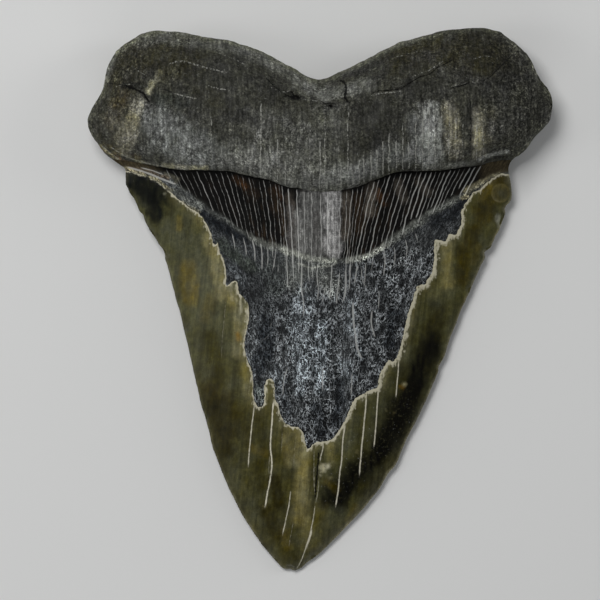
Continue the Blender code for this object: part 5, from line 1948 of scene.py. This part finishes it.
# enamel: growth streaks, cloudy stains and fine dust
long_streak = cloud(stretched(flow, (0.34, 0.012, 0.02), (8, 3, 5)), 3.0, 0.6)
wide_streak = cloud(stretched(flow, (0.075, 0.014, 0.02), (1, 9, 6)), 2.0, 0.5)
stain = cloud(stretched(flow, (0.085, 0.06, 0.1), (5, 5, 9)), 4.0, 0.62)
mottle = cloud(stretched(flow, (0.26, 0.19, 0.3), (2, 2, 5)), 3.0, 0.65)
enamel_n = add(add(mul(long_streak, 0.42), mul(wide_streak, 0.30)),
               add(add(mul(stain, 0.46), mul(dust, 0.22)), mul(mottle, 0.42)))
total = add(add(mul(root_n, is_root), mul(bare_n, is_bare)), mul(enamel_n, is_enamel))
colour = shade(attr("paint").outputs["Color"], calc("EXPONENT", total))

# the hue wanders between grey and brown, olive and grey
tint = cloud(stretched(flow, (0.06, 0.045, 0.1), (6, 8, 3)), 4.0, 0.6)
fine_tint = cloud(stretched(flow, (0.45, 0.38, 0.8), (1, 6, 9)), 2.0, 0.6)
wander = node("ShaderNodeHueSaturation")
plug(calc("MULTIPLY_ADD", tint, calc("MULTIPLY_ADD", is_enamel, -0.014, 0.0), 0.5),
     wander.inputs["Hue"])
plug(add(calc("MULTIPLY_ADD", tint, add(mul(is_root, 0.70), mul(is_enamel, 0.35)), 0.96),
         mul(mul(fine_tint, is_root), 0.35)), wander.inputs["Saturation"])
plug(colour, wander.inputs["Color"])
colour = wander.outputs[0]
# pores of the root, mottled dots in the enamel's dark parts
colour = blend("MIX", mul(mul(pore, is_root), 0.50), colour, rgb("charcoal"))
light_speck = ramp(cloud(stretched(flow, (0.36, 0.33, 1.0), (3, 8, 2)), 2.0, 0.5),
                   0.50, 0.90)
colour = blend("MIX", mul(mul(light_speck, speck_here), 0.60), colour,
               rgb("silver white"))
dots = ramp(cloud(stretched(flow, (0.31, 0.29, 1.0), (7, 1, 6)), 2.0, 0.6), 0.14, 0.70)
colour = blend("MIX", mul(mul(dots, mul(speck_here, is_enamel)), 0.62), colour,
               rgb("horn"))
# thin lines, broken up along their length
break_up = cloud(stretched(flow, (0.9, 0.30, 1.0), (7, 7, 7)), 2.0, 0.6)
crumbs = cloud(stretched(flow, (0.62, 0.40, 1.0), (2, 7, 4)), 2.0, 0.6)
firm = calc("MULTIPLY_ADD", break_up, 0.20, pale_line)
white = ramp(firm, 0.14, 0.55)
keen = ramp(firm, 0.07, 0.84)
dotted = mul(ramp(calc("MULTIPLY_ADD", crumbs, 0.90, pale_line), 0.20, 0.80),
             ramp(pale_line, 0.0, 0.20))
colour = blend("MIX", mul(dotted, mul(is_root, 0.85)), colour, (0.30, 0.30, 0.27, 1.0))
lit_line = blend("ADD", 1.0, shade(attr("paint").outputs["Color"], 1.0),
                 (0.32, 0.32, 0.305, 1.0))
colour = blend("MIX", mul(white, mul(is_bare, 0.84)), colour, lit_line)
colour = blend("MIX", mul(keen, mul(is_enamel, 0.96)), colour, (0.66, 0.62, 0.49, 1.0))
# dark cracks, and painted shade inside the root's pits, broken up along their length
colour = blend("MIX", mul(ramp(calc("MULTIPLY_ADD", crumbs, 0.62, dark_mark), 0.14, 0.56),
                          mul(ramp(dark_mark, 0.0, 0.12), 0.94)), colour, rgb("near black"))
fringe = cloud(stretched(flow, (0.42, 0.075, 1.0), (5, 2, 6)), 2.0, 0.6)
ragged = add(calc("MULTIPLY_ADD", crumbs, 0.28, cream_rim),
             mul(mul(fringe, 0.42), ramp(cream_rim, 0.0, 0.15)))
colour = blend("MIX", mul(ramp(ragged, 0.26, 0.72), 0.92), colour, (0.50, 0.47, 0.35, 1.0))

shine = add(add(mul(is_root, 0.80), mul(is_bare, 0.70)), mul(is_enamel, 0.38))
shine = add(shine, add(mul(mul(grain, is_root), 0.05), mul(threads, mul(is_bare, 0.10))))
shine = add(shine, mul(mul(stain, is_enamel), 0.05))
shine = calc("ADD", shine, mul(calc("MAXIMUM", pale_line, cream_rim), 0.25), clamp=True)

relief = add(mul(add(add(mul(grain, 0.4), mul(coarse, 0.8)), mul(pore, -1.0)), is_root),
             add(mul(mul(add(threads, mul(dust, 0.35)), is_bare),
                     calc("MULTIPLY_ADD", net_here, 0.9, 0.25)),
                 mul(add(mul(long_streak, 0.16), mul(dust, 0.06)), is_enamel)))
relief = add(relief, mul(white, 0.8))
bump = node("ShaderNodeBump")
bump.inputs["Strength"].default_value = 0.55
bump.inputs["Distance"].default_value = 1.1e-4
plug(relief, bump.inputs["Height"])

skin = node("ShaderNodeBsdfPrincipled")
plug(colour, skin.inputs["Base Color"])
plug(shine, skin.inputs["Roughness"])
plug(bump.outputs[0], skin.inputs["Normal"])
skin.inputs["Specular IOR Level"].default_value = 0.08
plug(mul(is_enamel, 0.16), skin.inputs["Coat Weight"])
skin.inputs["Coat Roughness"].default_value = 0.16
skin.inputs["Coat IOR"].default_value = 1.45
out = node("ShaderNodeOutputMaterial")
tree.links.new(skin.outputs[0], out.inputs["Surface"])
mesh.materials.append(fossil)

tooth = bpy.data.objects.new("fossil_tooth", mesh)
bpy.context.collection.objects.link(tooth)
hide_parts("tooth")
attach(tooth, "root")


# =====================================================================
# Floor, light and camera
# =====================================================================
def plain(name, rgb_value, rough_value):
    m = bpy.data.materials.new(name)
    m.use_nodes = True
    b = m.node_tree.nodes["Principled BSDF"]
    b.inputs["Base Color"].default_value = (*rgb_value, 1.0)
    b.inputs["Roughness"].default_value = rough_value
    return m


ground = bpy.data.meshes.new("floor")
half_side = 4.0
ground.from_pydata([(-half_side, -half_side, 0), (half_side, -half_side, 0),
                    (half_side, half_side, 0), (-half_side, half_side, 0)], [],
                   [(0, 1, 2, 3)])
ground.materials.append(plain("pale floor", (0.72, 0.72, 0.71), 0.9))
floor = bpy.data.objects.new("floor", ground)
floor.location = (0, 0, -1e-5)
bpy.context.collection.objects.link(floor)


def softbox(name, place_at, size, watts, tint=(1, 1, 1)):
    lamp = bpy.data.lights.new(name, "AREA")
    lamp.shape = "RECTANGLE"
    lamp.size, lamp.size_y = size
    lamp.energy = watts
    lamp.color = tint
    o = bpy.data.objects.new(name, lamp)
    o.location = place_at
    o.rotation_euler = (Vector((0, 0, 0.01)) - Vector(place_at)).to_track_quat(
        "-Z", "Y").to_euler()
    o.visible_camera = False
    bpy.context.collection.objects.link(o)
    return o


softbox("key", (-0.32, 0.46, 0.86), (0.60, 0.44), 6.6)
softbox("right", (0.98, 0.26, 0.26), (0.30, 0.70), 3.2)
softbox("low", (-0.10, -0.95, 0.26), (0.80, 0.24), 2.6)
softbox("left", (-0.90, -0.05, 0.34), (0.30, 0.60), 2.0)

world = bpy.data.worlds.new("studio")
world.use_nodes = True
world.node_tree.nodes["Background"].inputs[0].default_value = (0.9, 0.95, 1.0, 1)
world.node_tree.nodes["Background"].inputs[1].default_value = 0.10
bpy.context.scene.world = world
bpy.context.scene.view_settings.view_transform = "Standard"
bpy.context.scene.view_settings.look = "None"
bpy.context.scene.view_settings.exposure = 0.0

lens = bpy.data.cameras.new("camera")
lens.lens = LENS
lens.sensor_width = 36.0
lens.clip_start, lens.clip_end = 0.05, 20.0
camera = bpy.data.objects.new("camera", lens)
camera.location = ((VIEW_CENTRE[0] - MIDDLE[0]) * UNIT,
                   (MIDDLE[1] - VIEW_CENTRE[1]) * UNIT,
                   VIEW_PLANE + VIEW_DISTANCE)
camera.rotation_euler = (0, 0, 0)
bpy.context.collection.objects.link(camera)
bpy.context.scene.camera = camera
